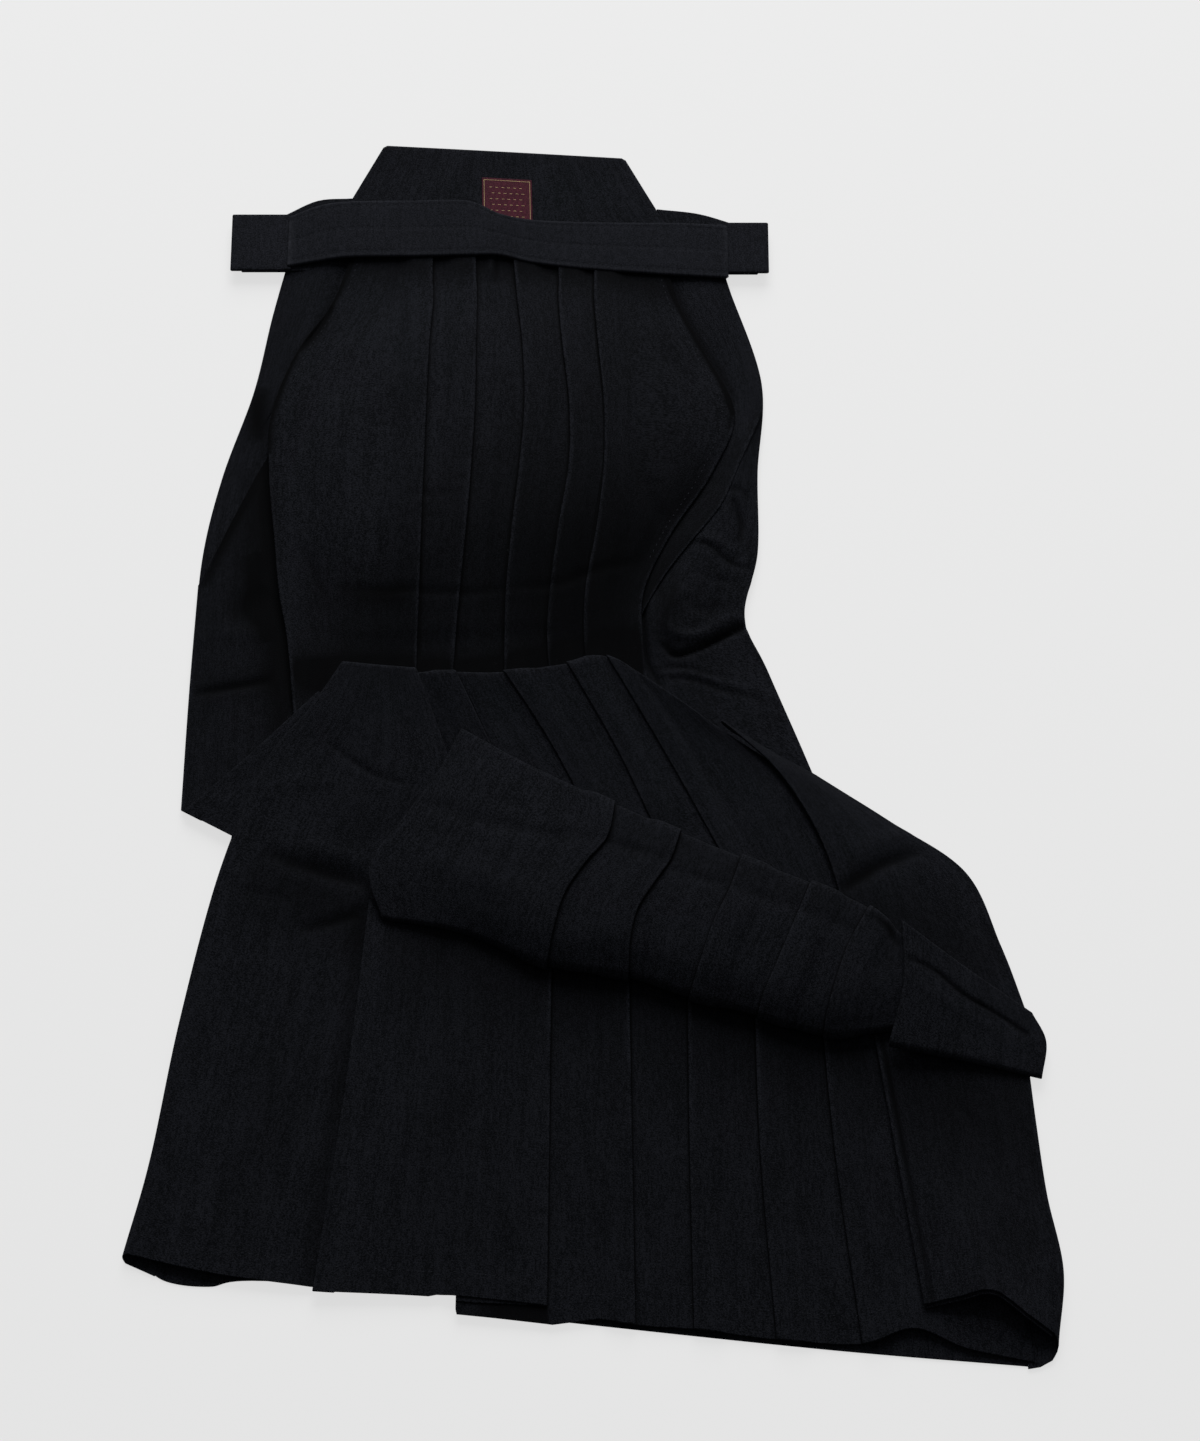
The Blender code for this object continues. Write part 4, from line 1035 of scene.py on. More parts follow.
# Painted shadow beneath the strip's roll and broad painted shade; the lightened crease beside the left
# fold is painted highlight.
lowerCreases = [
    shade([(-150, -158), (-96, -170), (-34, -194), (20, -203), (62, -218), (107, -231), (150, -245),
           (200, -262)], 14.0, 56.0, -0.72, 0.15),
    shade([(-140, -330), (200, -350)], 90.0, 90.0, -0.16, 0.1),
    crease([(-150, -146), (-161, -275), (-179, -412)], 0.4, 7.0, 7.0, 0.35, 0.2),
    crease([(-120, -200), (-128, -300), (-136, -400)], 0.5, 7.0, 7.0),
    crease([(-70, -190), (-74, -300), (-78, -410)], -0.5, 7.0, 7.0),
    crease([(165, -260), (172, -330), (186, -400)], 0.6, 8.0, 8.0),
]


buildFront("lower", lowerFront, linesOf(lowerFront), foldLeft(0, cloth["edgeTuck"]), point(9),
           lowerCreases)
print("front made")


# Side cloths: plain between their lines, with folds at the sides that turn under.

# Their shade bands and the darkening along their creases are painted shade; lightened ridges are painted
# highlight.
sideCloths = {
    "side_left_upper": {
        "foldLeft": 14.0,
        "creases": [
            crease([(-243, 214), (-256, 186), (-269, 152), (-286, 106)], 0.9, 7.0, 1.6, 0.1, 0.3),
            crease([(-238, 211), (-252, 182), (-265, 149), (-282, 102)], -1.2, 5.5, 1.8, -1.0, 0.25),
            crease([(-286, 18), (-258, 23), (-230, 28)], -1.8, 4.0, 3.2, -0.45),
            shade([(-286, 18), (-258, 23), (-226, 28)], 14.0, 11.0, -0.4, 0.3),
            crease([(-264, 78), (-246, 88), (-236, 100)], -1.2, 11.0, 12.0, -0.5),
            shade([(-240, 212), (-242, 150), (-238, 100), (-227, 60)], 18.0, 17.0, -0.8, 0.25),
            shade([(-240, 130), (-233, 90), (-226, 45), (-221, 10), (-222, -40)], 12.0, 15.0, -0.95, 0.2),
            crease([(-240, 150), (-250, 100), (-246, 50)], 0.8, 8.0, 8.0),
            crease([(-283, 60), (-262, 66), (-235, 62)], 0.6, 5.0, 5.0),
            crease([(-240, 262), (-241, 190), (-237, 142), (-231, 96), (-221, 50), (-212, 5)], -1.6,
                   7.0, 3.2, -1.0, 0.15),
            shade([(-260, 200), (-262, 60), (-262, -90)], 50.0, 50.0, -0.26, 0.1),
        ],
        "lines": {
            "outer": ((-285, 104, 3.7), (-288, 20, 3.7), (-290, -70, 3.7)),
            "rib": ((-254, 176, 4.8), (-250, 50, 5.2), (-246, -92, 4.0)),
            "inner": ((-222, 246, 4.2), (-209, 128, 4.6), (-203, 10, 4.6), (-224, -102, 4.0)),
        },
    },
    "return_left": {
        "foldLeft": 14.0,
        "creases": [crease([(-262, -62), (-225, -30), (-190, 4)], -0.6, 4.0, 4.0, -0.2)],
        "lines": {
            "outer": ((-288, -72, 6.2), (-243, -30, 10.2), (-197, 15, 15.6)),
            "inner": ((-240, -98, 6.2), (-215, -55, 9.8), (-172, -8, 14.6)),
        },
    },
    "side_left_lower": {
        "foldLeft": 14.0, "foldRight": 10.0, "topTuck": 12.0, "topBend": (5.8, 5.8, 5.8),
        "loopLeft": {"radius": 2.7, "tuck": 24.0, "drop": (0.0, 2.0, 5.0, 7.0, 9.0), "sink": (0.0, 0.0)},
        "creases": [
            crease([(-190, -24), (-173, -38), (-154, -50), (-131, -57)], -1.0, 3.2, 2.4, -0.3),
            crease([(-234, -104), (-194, -118), (-161, -128), (-156, -138)], -2.4, 7.0, 5.0, -0.9),
            shade([(-246, -116), (-195, -136), (-140, -154)], 15.0, 34.0, -0.65, 0.35),
            shade([(-240, -300), (-200, -310)], 90.0, 90.0, -0.2, 0.1),
            crease([(-205, -98), (-176, -108), (-158, -114)], 1.2, 6.0, 5.0),
            crease([(-253, -130), (-230, -136), (-208, -141)], -0.6, 4.0, 4.0, -0.1),
            crease([(-207, -162), (-181, -155), (-156, -144)], -1.6, 5.0, 4.0, -0.5),
            crease([(-230, -60), (-205, -52), (-185, -55)], 0.8, 6.0, 6.0),
            crease([(-262, -190), (-240, -186), (-215, -192)], 0.5, 7.0, 7.0),
            crease([(-222, -250), (-236, -330), (-240, -392)], 0.5, 8.0, 8.0),
            crease([(-162, -150), (-174, -275), (-192, -424)], -0.7, 3.0, 8.0, -0.6, 0.1),
        ],
        "lines": {
            "outer": ((-179, 36, 24.0), (-203, 0, 18.5), (-231, -36, 14.0), (-261, -118, 9.8),
                      (-284, -225, 7.4), (-300, -325, 6.8), (-315, -391, 7.0)),
            "rib": ((-158, 33, 25.5), (-165, -8, 20.0), (-178, -48, 15.0), (-205, -130, 8.2),
                    (-224, -232, 6.4), (-242, -330, 6.2), (-252, -405, 6.2)),
            "inner": ((-129, 30, 26.2), (-115, -8, 20.4), (-104, -48, 17.0), (-115, -88, 13.0),
                      (-124, -135, 5.0), (-148, -240, 4.4), (-158, -338, 4.2), (-168, -416, 3.8)),
        },
    },
    "side_right_upper": {
        "foldRight": 14.0,
        "creases": [
            shade([(50, 362), (60, 330), (76, 296), (88, 274), (97, 250)], 4.0, 8.0, -0.8, 0.2),
            crease([(91, 175), (97, 178), (103, 176), (105, 169)], -0.9, 1.8, 1.6, -0.6, 0.3),
            crease([(96, 170), (99, 158), (101, 147), (99, 133)], -2.2, 2.6, 3.2, -0.95),
            crease([(88, 166), (92, 152), (92, 136)], 1.2, 3.0, 3.0),
            crease([(66, 134), (78, 131), (91, 120), (105, 116)], -1.3, 1.8, 2.2, -0.7, 0.3),
            crease([(91, 120), (102, 128), (108, 142)], -0.8, 1.8, 1.8, -0.5, 0.4),
            crease([(59, 107), (51, 88), (47, 73), (48, 64)], -0.7, 2.0, 3.4, -0.4),
            crease([(66, 138), (82, 135), (96, 126)], 1.2, 3.0, 3.0),
            crease([(60, 98), (49, 82), (48, 68), (58, 60), (72, 62), (86, 72), (101, 80)], 2.2,
                   3.4, 4.6, 0.1, 0.35),
            crease([(44, 56), (53, 46), (70, 51), (87, 61), (108, 73)], -3.6, 2.8, 2.2, -0.95, 0.4),
            crease([(72, 54), (92, 66), (116, 80)], -0.9, 4.4, 2.0, -0.7, 0.5),
            shade([(90, 130), (70, 90), (52, 78)], 16.0, 22.0, -0.2, 0.4),
            shade([(50, 130), (46, 85), (52, 34)], 12.0, 12.0, -0.6, 0.4),
            crease([(60, 88), (72, 80), (92, 86)], -0.9, 5.0, 5.0, -0.1),
            crease([(38, 36), (55, 37), (74, 32), (95, 29)], -0.8, 2.4, 2.2, -0.35),
            crease([(42, 30), (66, 27), (87, 19), (106, 15), (120, 10)], -1.0, 2.6, 2.4, -0.45),
            crease([(40, 33), (64, 32), (90, 25), (110, 20)], 0.9, 2.2, 2.2, 0.1),
            crease([(31, 104), (31, 82), (32, 62), (34, 42), (43, 23)], -2.2, 2.2, 3.0, -1.0, 0.2),
            crease([(38, 98), (38, 60), (40, 46)], 1.0, 2.4, 3.0, 0.15),
            crease([(100, 250), (96, 215), (90, 185)], 0.8, 4.0, 4.0),
            shade([(80, 100), (84, 40), (110, -20)], 40.0, 40.0, -0.2, 0.2),
            crease([(70, 112), (80, 104), (98, 104)], -0.8, 3.4, 3.4, -0.15),
            crease([(108, 30), (126, 0), (146, -34)], 0.9, 6.0, 6.0),
        ],
        "lines": {
            "inner": ((18, 373, 6.6), (28, 345, 6.2), (60, 275, 5.4), (62, 205, 5.4), (22, 130, 6.0),
                      (6, 80, 6.0), (8, 48, 5.0), (24, 6, 5.0)),
            "shelf": ((46, 373, 7.2), (58, 345, 7.0), (88, 275, 6.4), (90, 205, 8.0), (50, 130, 8.6),
                      (34, 80, 8.4), (36, 45, 6.4), (56, -6, 6.4)),
            "rib": ((66, 373, 7.2), (76, 345, 7.4), (104, 270, 7.4), (101, 200, 11.0), (76, 132, 14.0),
                    (60, 86, 15.0), (68, 38, 10.0), (92, -22, 7.0)),
            "outer": ((88, 373, 5.6), (95, 345, 6.0), (117, 268, 4.4), (113, 195, 4.5), (112, 130, 5.0),
                      (102, 78, 6.0), (118, 36, 3.7), (149, -46, 3.7)),
        },
    },
    "side_right_middle": {
        "foldLeft": 14.0, "foldRight": 14.0, "topTuck": 6.0, "topBend": (2.4, 2.4, 2.2),
        "creases": [
            crease([(160, -138), (180, -124), (195, -114), (224, -102)], -2.8, 6.5, 4.2, -1.0),
            crease([(172, -108), (190, -98), (216, -88)], 1.1, 6.0, 5.0),
            crease([(120, -34), (150, -66), (160, -100)], -0.6, 5.0, 5.0, -0.1),
            shade([(160, -132), (215, -160), (275, -196)], 22.0, 26.0, -0.6, 0.3),
            crease([(176, -64), (214, -104), (250, -160)], 0.6, 9.0, 9.0),
            crease([(240, -150), (262, -160), (282, -182)], -0.7, 5.0, 5.0, -0.1),
        ],
        "lines": {
            "edge": ((84, -11, 25.2), (119, -42, 19.4), (142, -76, 16.5), (157, -110, 14.5),
                     (168, -152, 13.4)),
            "rib": ((116, -28, 13.8), (160, -62, 11.6), (196, -100, 10.4), (214, -142, 10.0),
                    (226, -188, 9.0)),
            "outer": ((148, -44, 6.8), (201, -80, 4.9), (251, -117, 4.4), (273, -170, 4.3),
                      (290, -224, 4.2)),
        },
    },
    "side_right_strip": {
        "foldLeft": 14.0, "topTuck": 6.0, "lowTuck": 3.0,
        "creases": [
            crease([(206, -189), (226, -197), (246, -213), (268, -225), (290, -239)], -1.6, 1.6, 2.4,
                   -1.0, 0.2),
            crease([(206, -206), (226, -214), (252, -230), (286, -250)], 0.7, 5.0, 5.0, 0.1),
        ],
        "topBend": (2.4, 2.3, 2.2), "lowBend": (3.5, 3.0, 2.2),
        "lines": {
            "edge": ((205, -163, 30.5), (205, -207, 27.5), (194, -250, 22.5)),
            "rib": ((248, -193, 19.0), (250, -222, 18.0), (245, -258, 15.0)),
            "outer": ((292, -221, 7.4), (301, -242, 6.8), (297, -268, 7.2)),
        },
    },
    "side_right_lower": {
        "foldLeft": 14.0, "foldRight": 14.0,
        "loopRight": {"radius": 4.1, "tuck": 30.0, "drop": (0.0, 5.0, 16.0, 27.0, 36.0),
                      "sink": (4.2, 6.6)},
        "creases": [
            crease([(237, -285), (246, -296), (258, -310)], -0.7, 4.0, 4.0, -0.1),
            crease([(222, -340), (238, -378), (250, -416)], 0.8, 8.0, 8.0),
            crease([(262, -300), (272, -350), (284, -400)], -0.7, 7.0, 7.0),
            shade([(230, -230), (250, -340), (270, -420)], 50.0, 50.0, -0.22, 0.2),
            shade([(170, -262), (240, -284), (320, -290)], 30.0, 50.0, -0.5, 0.2),
            crease([(188, -226), (201, -310), (219, -430)], -0.7, 1.8, 1.8, -0.8, 0.1),
        ],
        "lines": {
            "edge": ((182, -215, 8.6), (196, -310, 8.6), (213, -427, 9.6)),
            "quarter": ((210, -222, 6.8), (220, -318, 8.6), (235, -423, 13.5)),
            "crown": ((238, -230, 6.2), (246, -326, 9.4), (258, -420, 18.0)),
            "shoulder": ((266, -240, 5.2), (272, -332, 8.4), (281, -436, 15.5)),
            "outer": ((288, -250, 3.9), (292, -300, 5.4), (297, -350, 6.9), (305.5, -402, 8.4),
                      (300.5, -449, 9.4)),
        },
    },
}


# At the hem a side fold may open to a loop: its radius and tuck, how far the hem drops at the
# start, middle and end of the half round and along the tuck, and how far the tuck sinks.
def sidePath(table, spans, atHem=False):
    ends = []
    for side, make, number in (("Left", foldLeft, 0), ("Right", foldRight, len(spans))):
        loop = table.get("loop" + side) if atHem else None
        tuck = loop["tuck"] if loop else table.get("fold" + side)
        end = make(number, tuck, loop["radius"] if loop else None) if tuck else point(number)
        if loop:
            inward = np.arange(len(end)) if side == "Right" else np.arange(len(end))[::-1]
            turned = cloth["foldSteps"] + 2
            tucked = [turned, turned + 1, turned + 2]
            end[:, 5] = np.interp(inward, [2, (turned + 2) / 2, *tucked], loop["drop"])
            end[:, 3] -= np.interp(inward, tucked, [0.0, *loop["sink"]])
        ends.append(end)
    return joinPath(ends, spans, cloth["sideStep"])


for node, table in sideCloths.items():
    lines = linesOf(table)
    spans = spansOf(lines)
    rows = sections(meanLength(lines), table.get("topTuck"), table.get("lowTuck"), cloth["sideStep"])
    path, endPath = sidePath(table, spans), sidePath(table, spans, atHem=True)
    grid = clothGrid(lines, rows, path, table.get("topBend"), table.get("lowBend"), endPath)
    grid, wearAndPaintedLight = settle(grid, table["creases"])
    wallPiece("cloth_" + node, grid, cloth["wall"], navyCloth, [node], crest=wearAndPaintedLight + path[:, 4])


# Highest z of a made cloth within reach of each place.
def heightAt(name, places, reach=3.5):
    spots = made[name]["grid"].reshape(-1, 3)
    away = np.hypot(*(places[:, None, :2] - spots[None, :, :2]).transpose(2, 0, 1))
    return np.where(away < reach, spots[None, :, 2], -1.0).max(axis=1)


# Facing turned back along the right side slit, lying on the side cloth, with painted shade that
# darkens it further down.
slitFacing = {
    "on": "cloth_side_right_upper", "lift": 0.95, "tuck": 9.0, "points": 22,
    "rowStep": 2.4, "panelStep": 1.8, "shade": (0.3, 1.1),
    "inner": ((92, 246), (86, 230), (79, 206), (66, 180), (50, 156), (36, 130), (25, 104), (18, 74)),
    "outer": ((117, 243), (110, 223), (100, 198), (93, 179), (86, 163), (74, 146), (57, 124),
              (43, 104), (27, 74)),
}


def buildFacing():
    lines = []
    for edge in ("inner", "outer"):
        plan = alongLine(slitFacing[edge], np.linspace(0, 1, slitFacing["points"]))[0]
        height = heightAt(slitFacing["on"], plan) + slitFacing["lift"]
        lines.append(np.column_stack([plan, height]))
    fold = foldRight(1, slitFacing["tuck"], cloth["facingRadius"])
    path = joinPath([point(0), fold], spansOf(lines), slitFacing["panelStep"])
    grid = clothGrid(lines, sections(meanLength(lines), step=slitFacing["rowStep"]), path)
    crest = path[:, 4] - np.linspace(*slitFacing["shade"], len(grid))[:, None]
    wallPiece("cloth_slit_facing_right", grid, cloth["facingWall"], navyCloth, [], crest=crest)


# Turned-up hem inside the flap: the flap's last sections moved inward and a little past its edge.
flapHem = {"inside": 1.9, "beyond": 2.4, "sections": 9, "wall": 0.6, "upright": 0.3}


def buildFlapHem():
    info = made["cloth_side_right_lower"]
    up = np.flatnonzero(info["normal"][-1][:, 2] > flapHem["upright"])
    part = (slice(-flapHem["sections"], None), slice(up[0] + 2, up[-1] - 1))
    grid, normal = info["grid"][part], info["normal"][part]
    along = unit(np.gradient(grid, axis=0))
    grid = grid - normal * flapHem["inside"] + along * flapHem["beyond"]
    wallPiece("cloth_flap_hem", grid, flapHem["wall"], navyCloth, [])


buildFacing()
buildFlapHem()


# Back, flat on the surface. A place without a third number lies at the back's own height.

backShape = {"height": 0.6, "rowStep": 4.0}
backCloths = {
    "back_upper_left": {
        "outer": ((-226, 383, 5.4), (-239, 325, 3.4), (-251, 262, 1.6), (-272, 190), (-284, 120),
                  (-286, 30), (-286, -66)),
        "near": ((-192, 383, 6.8), (-205, 335, 6.8), (-216, 300, 6.0), (-226, 262, 4.0),
                 (-231, 240, 2.4), (-236, 120), (-236, -66)),
        "far": ((-156, 383), (-168, 335), (-186, 290), (-196, 255), (-200, 200), (-200, 90),
                (-200, -66)),
        "seam": ((-70, 383), (-70, -66)),
    },
    "back_upper_right": {
        "seam": ((-69.7, 383), (-69.7, -66)),
        "outer": ((86, 383), (97, 320), (113, 258), (108, 190), (109, 120), (100, 77), (116, 30),
                  (145, -42)),
    },
    "back_lower_left": {
        "outer": ((-252, -66.5), (-258, -110), (-279, -215), (-295, -320), (-303, -397)),
        "near": ((-235, -66.5), (-286, -408.5)),
        "rib": ((-200, -66.5), (-258, -412)),
        "far": ((-160, -66.5), (-222, -408)),
        "seam": ((-70, -66.5), (-70, -418)),
    },
    "back_lower_right": {
        "seam": ((-69.7, -66.5), (-69.7, -431)),
        "rib": ((50, -66.5), (140, -454)),
        "outer": ((145, -42.5), (233, -108), (266, -168), (284, -245), (290, -345), (283, -466.5)),
    },
}


# Painted shadow where the front's edge stands over the back beside the waist.
backCreases = [
    shade([(-189, 362), (-203, 322), (-213, 300), (-230, 276)], 4.0, 4.0, -0.6),
    shade([(-246, 266), (-248, 246), (-247, 220)], 9.0, 8.0, -1.2, 0.3),
    shade([(-240, 218), (-252, 192), (-262, 170)], 4.0, 2.0, -0.4, 0.3),
]


for node, table in backCloths.items():
    flat = backShape["height"]
    lines = [np.array([(*place, flat)[:3] for place in line], dtype=float) for line in table.values()]
    grid = plainGrid(lines, sections(meanLength(lines), step=backShape["rowStep"]))
    grid[..., 2] = np.maximum(grid[..., 2], flat)
    wearAndPaintedLight = creaseHeight(grid[..., 0], grid[..., 1], backCreases)[1]
    wallPiece("cloth_" + node, grid, cloth["backWall"], navyCloth, [node], crest=wearAndPaintedLight)


# Layers hidden inside, a rounded stack in each stretch.

hiddenStacks = {
    # first and last share, left and right inset, clearance
    "upper": (0.14, 0.93, 36.0, 48.0, 2.6),
    "middle": (0.34, 0.90, 13.0, 50.0, 2.8),
    "strip": (0.36, 0.60, 54.0, 48.0, 2.6),
    "lower": (0.06, 0.80, 44.0, 4.0, 1.8),
}
stackEdge = ((-158, 30, 20.0), (-166, -8, 13.5), (-176, -46, 7.0))
stackShape = {"base": 1.6, "rowStep": 8.0, "across": 41, "around": 17, "bulge": 1.1, "notch": 0.3}


# Stack under a stretch: top = base + (z - clearance - base) (0.3 + 0.7 (1 - |2t - 1|^10)^0.5)
# across it, with its sides bulged as three layers: bulge |sin 3 pi f| - notch.
def buildHidden():
    stretches = {
        "upper": upperLines(),
        "middle": [np.array(stackEdge, dtype=float)] + linesOf(middleFront),
        "strip": linesOf(stripFront),
        "lower": linesOf(lowerFront)[:7],
    }
    base = stackShape["base"]
    t = (1 - np.cos(np.pi * np.linspace(0, 1, stackShape["across"]))) / 2
    rounding = 0.3 + 0.7 * (1 - np.abs(2 * t - 1) ** 10) ** 0.5
    f = np.linspace(0, 1, stackShape["around"] + 2)[1:-1]
    bulge = stackShape["bulge"] * np.abs(np.sin(3 * np.pi * f)) - stackShape["notch"]
    for name, (first, last, leftInset, rightInset, clearance) in hiddenStacks.items():
        lines = stretches[name]
        count = int(meanLength(lines) * (last - first) / stackShape["rowStep"])
        share = np.linspace(first, last, max(6, count))
        spots = np.array([alongLine(line, share)[0] for line in lines])
        width, start = widthsOf(spots[..., :2])
        target = leftInset + (start[:, -1:] - leftInset - rightInset) * t
        top = smoothRows(spots, placeAt(target, width, start))[0]
        top[..., 2] = base + (top[..., 2] - clearance - base) * rounding
        low = top.copy()
        low[..., 2] = base
        points = closedPoints(top, low, f, bulge)
        faces = closedFaces(*top.shape[:2], len(f))
        u, v, size, _ = clothLengths(top)
        piece = newPiece("cloth_hidden_" + name, points, faces, navyCloth,
                         ["hidden_layers_" + name], closedUv(u, v, len(f)), np.zeros(len(points)))
        around = sum(face.area for face in piece.data.polygons) / 2 / mm**2
        size = (size[0], around / size[0])
        made["cloth_hidden_" + name] = {"piece": piece, "grid": top, "size": size, "area": around}


buildHidden()
print("sides, back and hidden layers made")


# Waist: band, back board, label and folded ties.

waistband = {
    "wall": 2.8,
    "step": 3.0,
    "across": 31,
    "seams": (0.86, 0.0, -0.86),    # rows of stitches, from 1 at the top to -1 at the foot
    "seamDepth": 0.35,
    "edgeWidth": 0.05,              # of a seam's hollow and of the worn edges
    "endWidth": 2.5,
    "edgeWear": 0.5, "leftWear": 1.6, "rightWear": 1.2,
    "swell": 0.25, "swellLength": 17.0,
    "pucker": 0.12, "puckerAt": 0.9,
    "rows": (
        # x, y and z of its middle, half its height
        (-228.5, 385.0, 9.0, 20.0),
        (-207.0, 391.0, 10.4, 22.5),
        (-184.0, 393.5, 12.2, 22.5),
        (-140.0, 394.0, 12.4, 22.5),
        (-98.0, 394.5, 12.4, 22.0),
        (-74.0, 389.0, 12.4, 16.5),
        (-50.0, 383.0, 12.4, 17.0),
        (-13.0, 379.5, 12.4, 18.5),
        (30.0, 377.5, 12.2, 20.0),
        (60.0, 377.0, 11.0, 21.0),
        (93.0, 376.0, 9.0, 21.0),
    ),
}


# Band: P(s, t) = middle(s) + t half(s) up, with z lowered a little along the rows of stitches,
# puckered near its edges, and worn at its edges and ends.
def buildBand():
    rows = np.array(waistband["rows"])
    x = np.arange(rows[0, 0], rows[-1, 0] + 1, waistband["step"])
    x[-1] = rows[-1, 0]
    place = np.interp(x, rows[:, 0], np.arange(len(rows)))
    smooth = smoothRows(rows[:, None], place[None])[0][0]
    t = np.linspace(1, -1, waistband["across"])[:, None]
    narrow, wide = waistband["edgeWidth"], waistband["endWidth"]

    def near(distance, width):
        return np.exp(-((distance / width) ** 2))

    swell = waistband["swell"] * np.sin(x / waistband["swellLength"])[None] * (1 - t**2)
    height = smooth[None, :, 2] + swell
    for row in waistband["seams"]:
        height = height - waistband["seamDepth"] * near(t - row, narrow)
    edge = near(np.abs(t) - waistband["puckerAt"], 0.12)
    height = height + waistband["pucker"] * np.sin(x * 0.9 + 3 * t) * edge
    across, up = smooth[None, :, 0] + 0 * t, smooth[None, :, 1] + t * smooth[None, :, 3]
    crest = waistband["edgeWear"] * near(np.abs(t) - 1.0, narrow) + 0 * x[None]
    crest = crest + waistband["leftWear"] * near(x[None] - x[0], wide)
    crest = crest + waistband["rightWear"] * near(x[None] - x[-1], wide)
    wallPiece("cloth_waistband", np.stack([across, up, height], -1), waistband["wall"], bandCloth,
              ["front_waistband"], crest=crest, rims=5)


backBoard = {
    "wall": 4.9, "length": 85.0, "rowStep": 3.0,
    "lines": {
        "left": ((-159.5, 469.5, 2.6), (-183.5, 421.0, 2.6), (-200.0, 386.0, 2.6)),
        "right": ((17.0, 458.5, 2.6), (41.0, 413.0, 2.6), (56.0, 386.0, 2.6)),
    },
}


def buildBoard():
    rows = sections(backBoard["length"], step=backBoard["rowStep"])
    wallPiece("cloth_koshiita", plainGrid(linesOf(backBoard), rows), backBoard["wall"], navyCloth,
              ["koshiita"], rims=5)


label = {
    "wall": 0.5, "length": 40.0, "rowStep": 1.5,
    "border": 1.7,          # distance of the border from the edge
    "dashRows": 6, "fromTop": 5.0, "fromLeft": 3.6, "fromRight": 4.4, "shift": 1.5,
    "lines": {
        "left": ((-87.5, 442.5, 5.45), (-87.0, 422.0, 5.45), (-86.5, 402.0, 5.45)),
        "right": ((-51.0, 440.0, 5.45), (-50.5, 420.0, 5.45), (-50.0, 400.0, 5.45)),
    },
}


# Label with a border of gold thread and rows of short dashes, every second row shifted.
def buildLabel():
    grid = plainGrid(linesOf(label), sections(label["length"], step=label["rowStep"]), finer=3)
    wallPiece("cloth_label", grid, label["wall"], maroonLabel, ["label"])
    rowsCount, columns = grid.shape[:2]
    s = np.linspace(0, 1, 30)

    def thread(row, column):
        return (*onCloth("cloth_label", row, column), label["wall"] / 2)

    edge = label["border"] / label["rowStep"]
    low, right = rowsCount - 1 - edge, columns - 1 - edge
    corners = [(edge, edge), (edge, right), (low, right), (low, edge), (edge, edge)]
    border = [thread(r0 + (r1 - r0) * s, c0 + (c1 - c0) * s)
              for (r0, c0), (r1, c1) in zip(corners, corners[1:])]
    dashes = []
    for index, row in enumerate(np.linspace(label["fromTop"], rowsCount - 1 - label["fromTop"],
                                            label["dashRows"])):
        begin = label["fromLeft"] + (index % 2) * label["shift"]
        dashes.append(thread(row + 0 * s, begin + (columns - label["fromRight"] - begin) * s))
    return [stitchPiece("label_border", border, borderStitch, goldThread),
            stitchPiece("label_dashes", dashes, dashStitch, goldThread)]


tieFolds = {
    "tie_fold_left": {"inner": -228.8, "outer": -271.0, "high": 408.0, "low": 362.0},
    "tie_fold_right": {"inner": 93.3, "outer": 123.5, "high": 401.0, "low": 360.0},
}
tieShape = {
    "top": 8.3, "bend": 0.9, "hidden": 16.0, "wall": 1.25,
    "gap": 0.8,             # between a half round and the straight part's nearest point
    "wave": 0.12,
    "backBend": 0.8, "backWall": 0.9, "backRowStep": 2.0,
}


# Folded tie: a section in x and z, with half rounds of the bend's radius, carried along y with
# a slow wave.
def buildTieFolds():
    bend, top = tieShape["bend"], tieShape["top"]
    a, b = np.radians(np.linspace(90, -90, 9)), np.radians(np.linspace(90, 270, 9))
    for node, tie in tieFolds.items():
        side = 1 if tie["outer"] > tie["inner"] else -1
        gap = side * tieShape["gap"]
        hidden = tie["inner"] - side * tieShape["hidden"]
        outer = np.column_stack([tie["outer"] + side * bend * (np.cos(a) - 1),
                                 top + bend * (np.sin(a) - 1)])
        inner = np.column_stack([hidden + side * bend * (1 + np.cos(b)), top + bend * (np.sin(b) - 3)])
        begin = np.linspace(tie["inner"] - side, outer[0, 0] - gap, 12)
        back = np.linspace(outer[-1, 0] - gap, inner[0, 0] + gap, 12)
        ahead = np.linspace(inner[-1, 0] + gap, tie["outer"] - side * 8, 10)
        section = np.concatenate([
            np.column_stack([begin, np.full(12, top)]),
            outer,
            np.column_stack([back, np.full(12, top - 2 * bend)]),
            inner,
            np.column_stack([ahead, np.full(10, top - 4 * bend)]),
        ])
        y = np.linspace(tie["high"], tie["low"], 19)
        share = np.linspace(0, 1, 19)[:, None]
        x = section[None, :, 0] + 0 * share
        z = section[None, :, 1] + tieShape["wave"] * np.sin(x / 7) * np.sin(np.pi * share)
        grid = np.stack([x, y[:, None] + 0 * x, z], -1)[:, ::side]
        wallPiece("cloth_" + node, grid, tieShape["wall"], bandCloth, [node], rims=3)


backTies = {
    "back_tie_left": {
        "lines": {
            "outer": ((-232, 412, 2.6), (-231, 398, 2.6)),
            "middle": ((-209, 424, 2.6), (-212, 398, 2.6)),
            "inner": ((-184, 426, 2.6), (-196, 398, 2.6)),
        },
    },
    "back_tie_right": {
        "lines": {
            "inner": ((42.4, 416.6, 2.6), (51.6, 395, 2.6)),
            "middle": ((73, 412.5, 2.6), (76, 393, 2.6)),
            "outer": ((101, 403, 2.6), (100, 388, 2.6)),
        },
    },
}


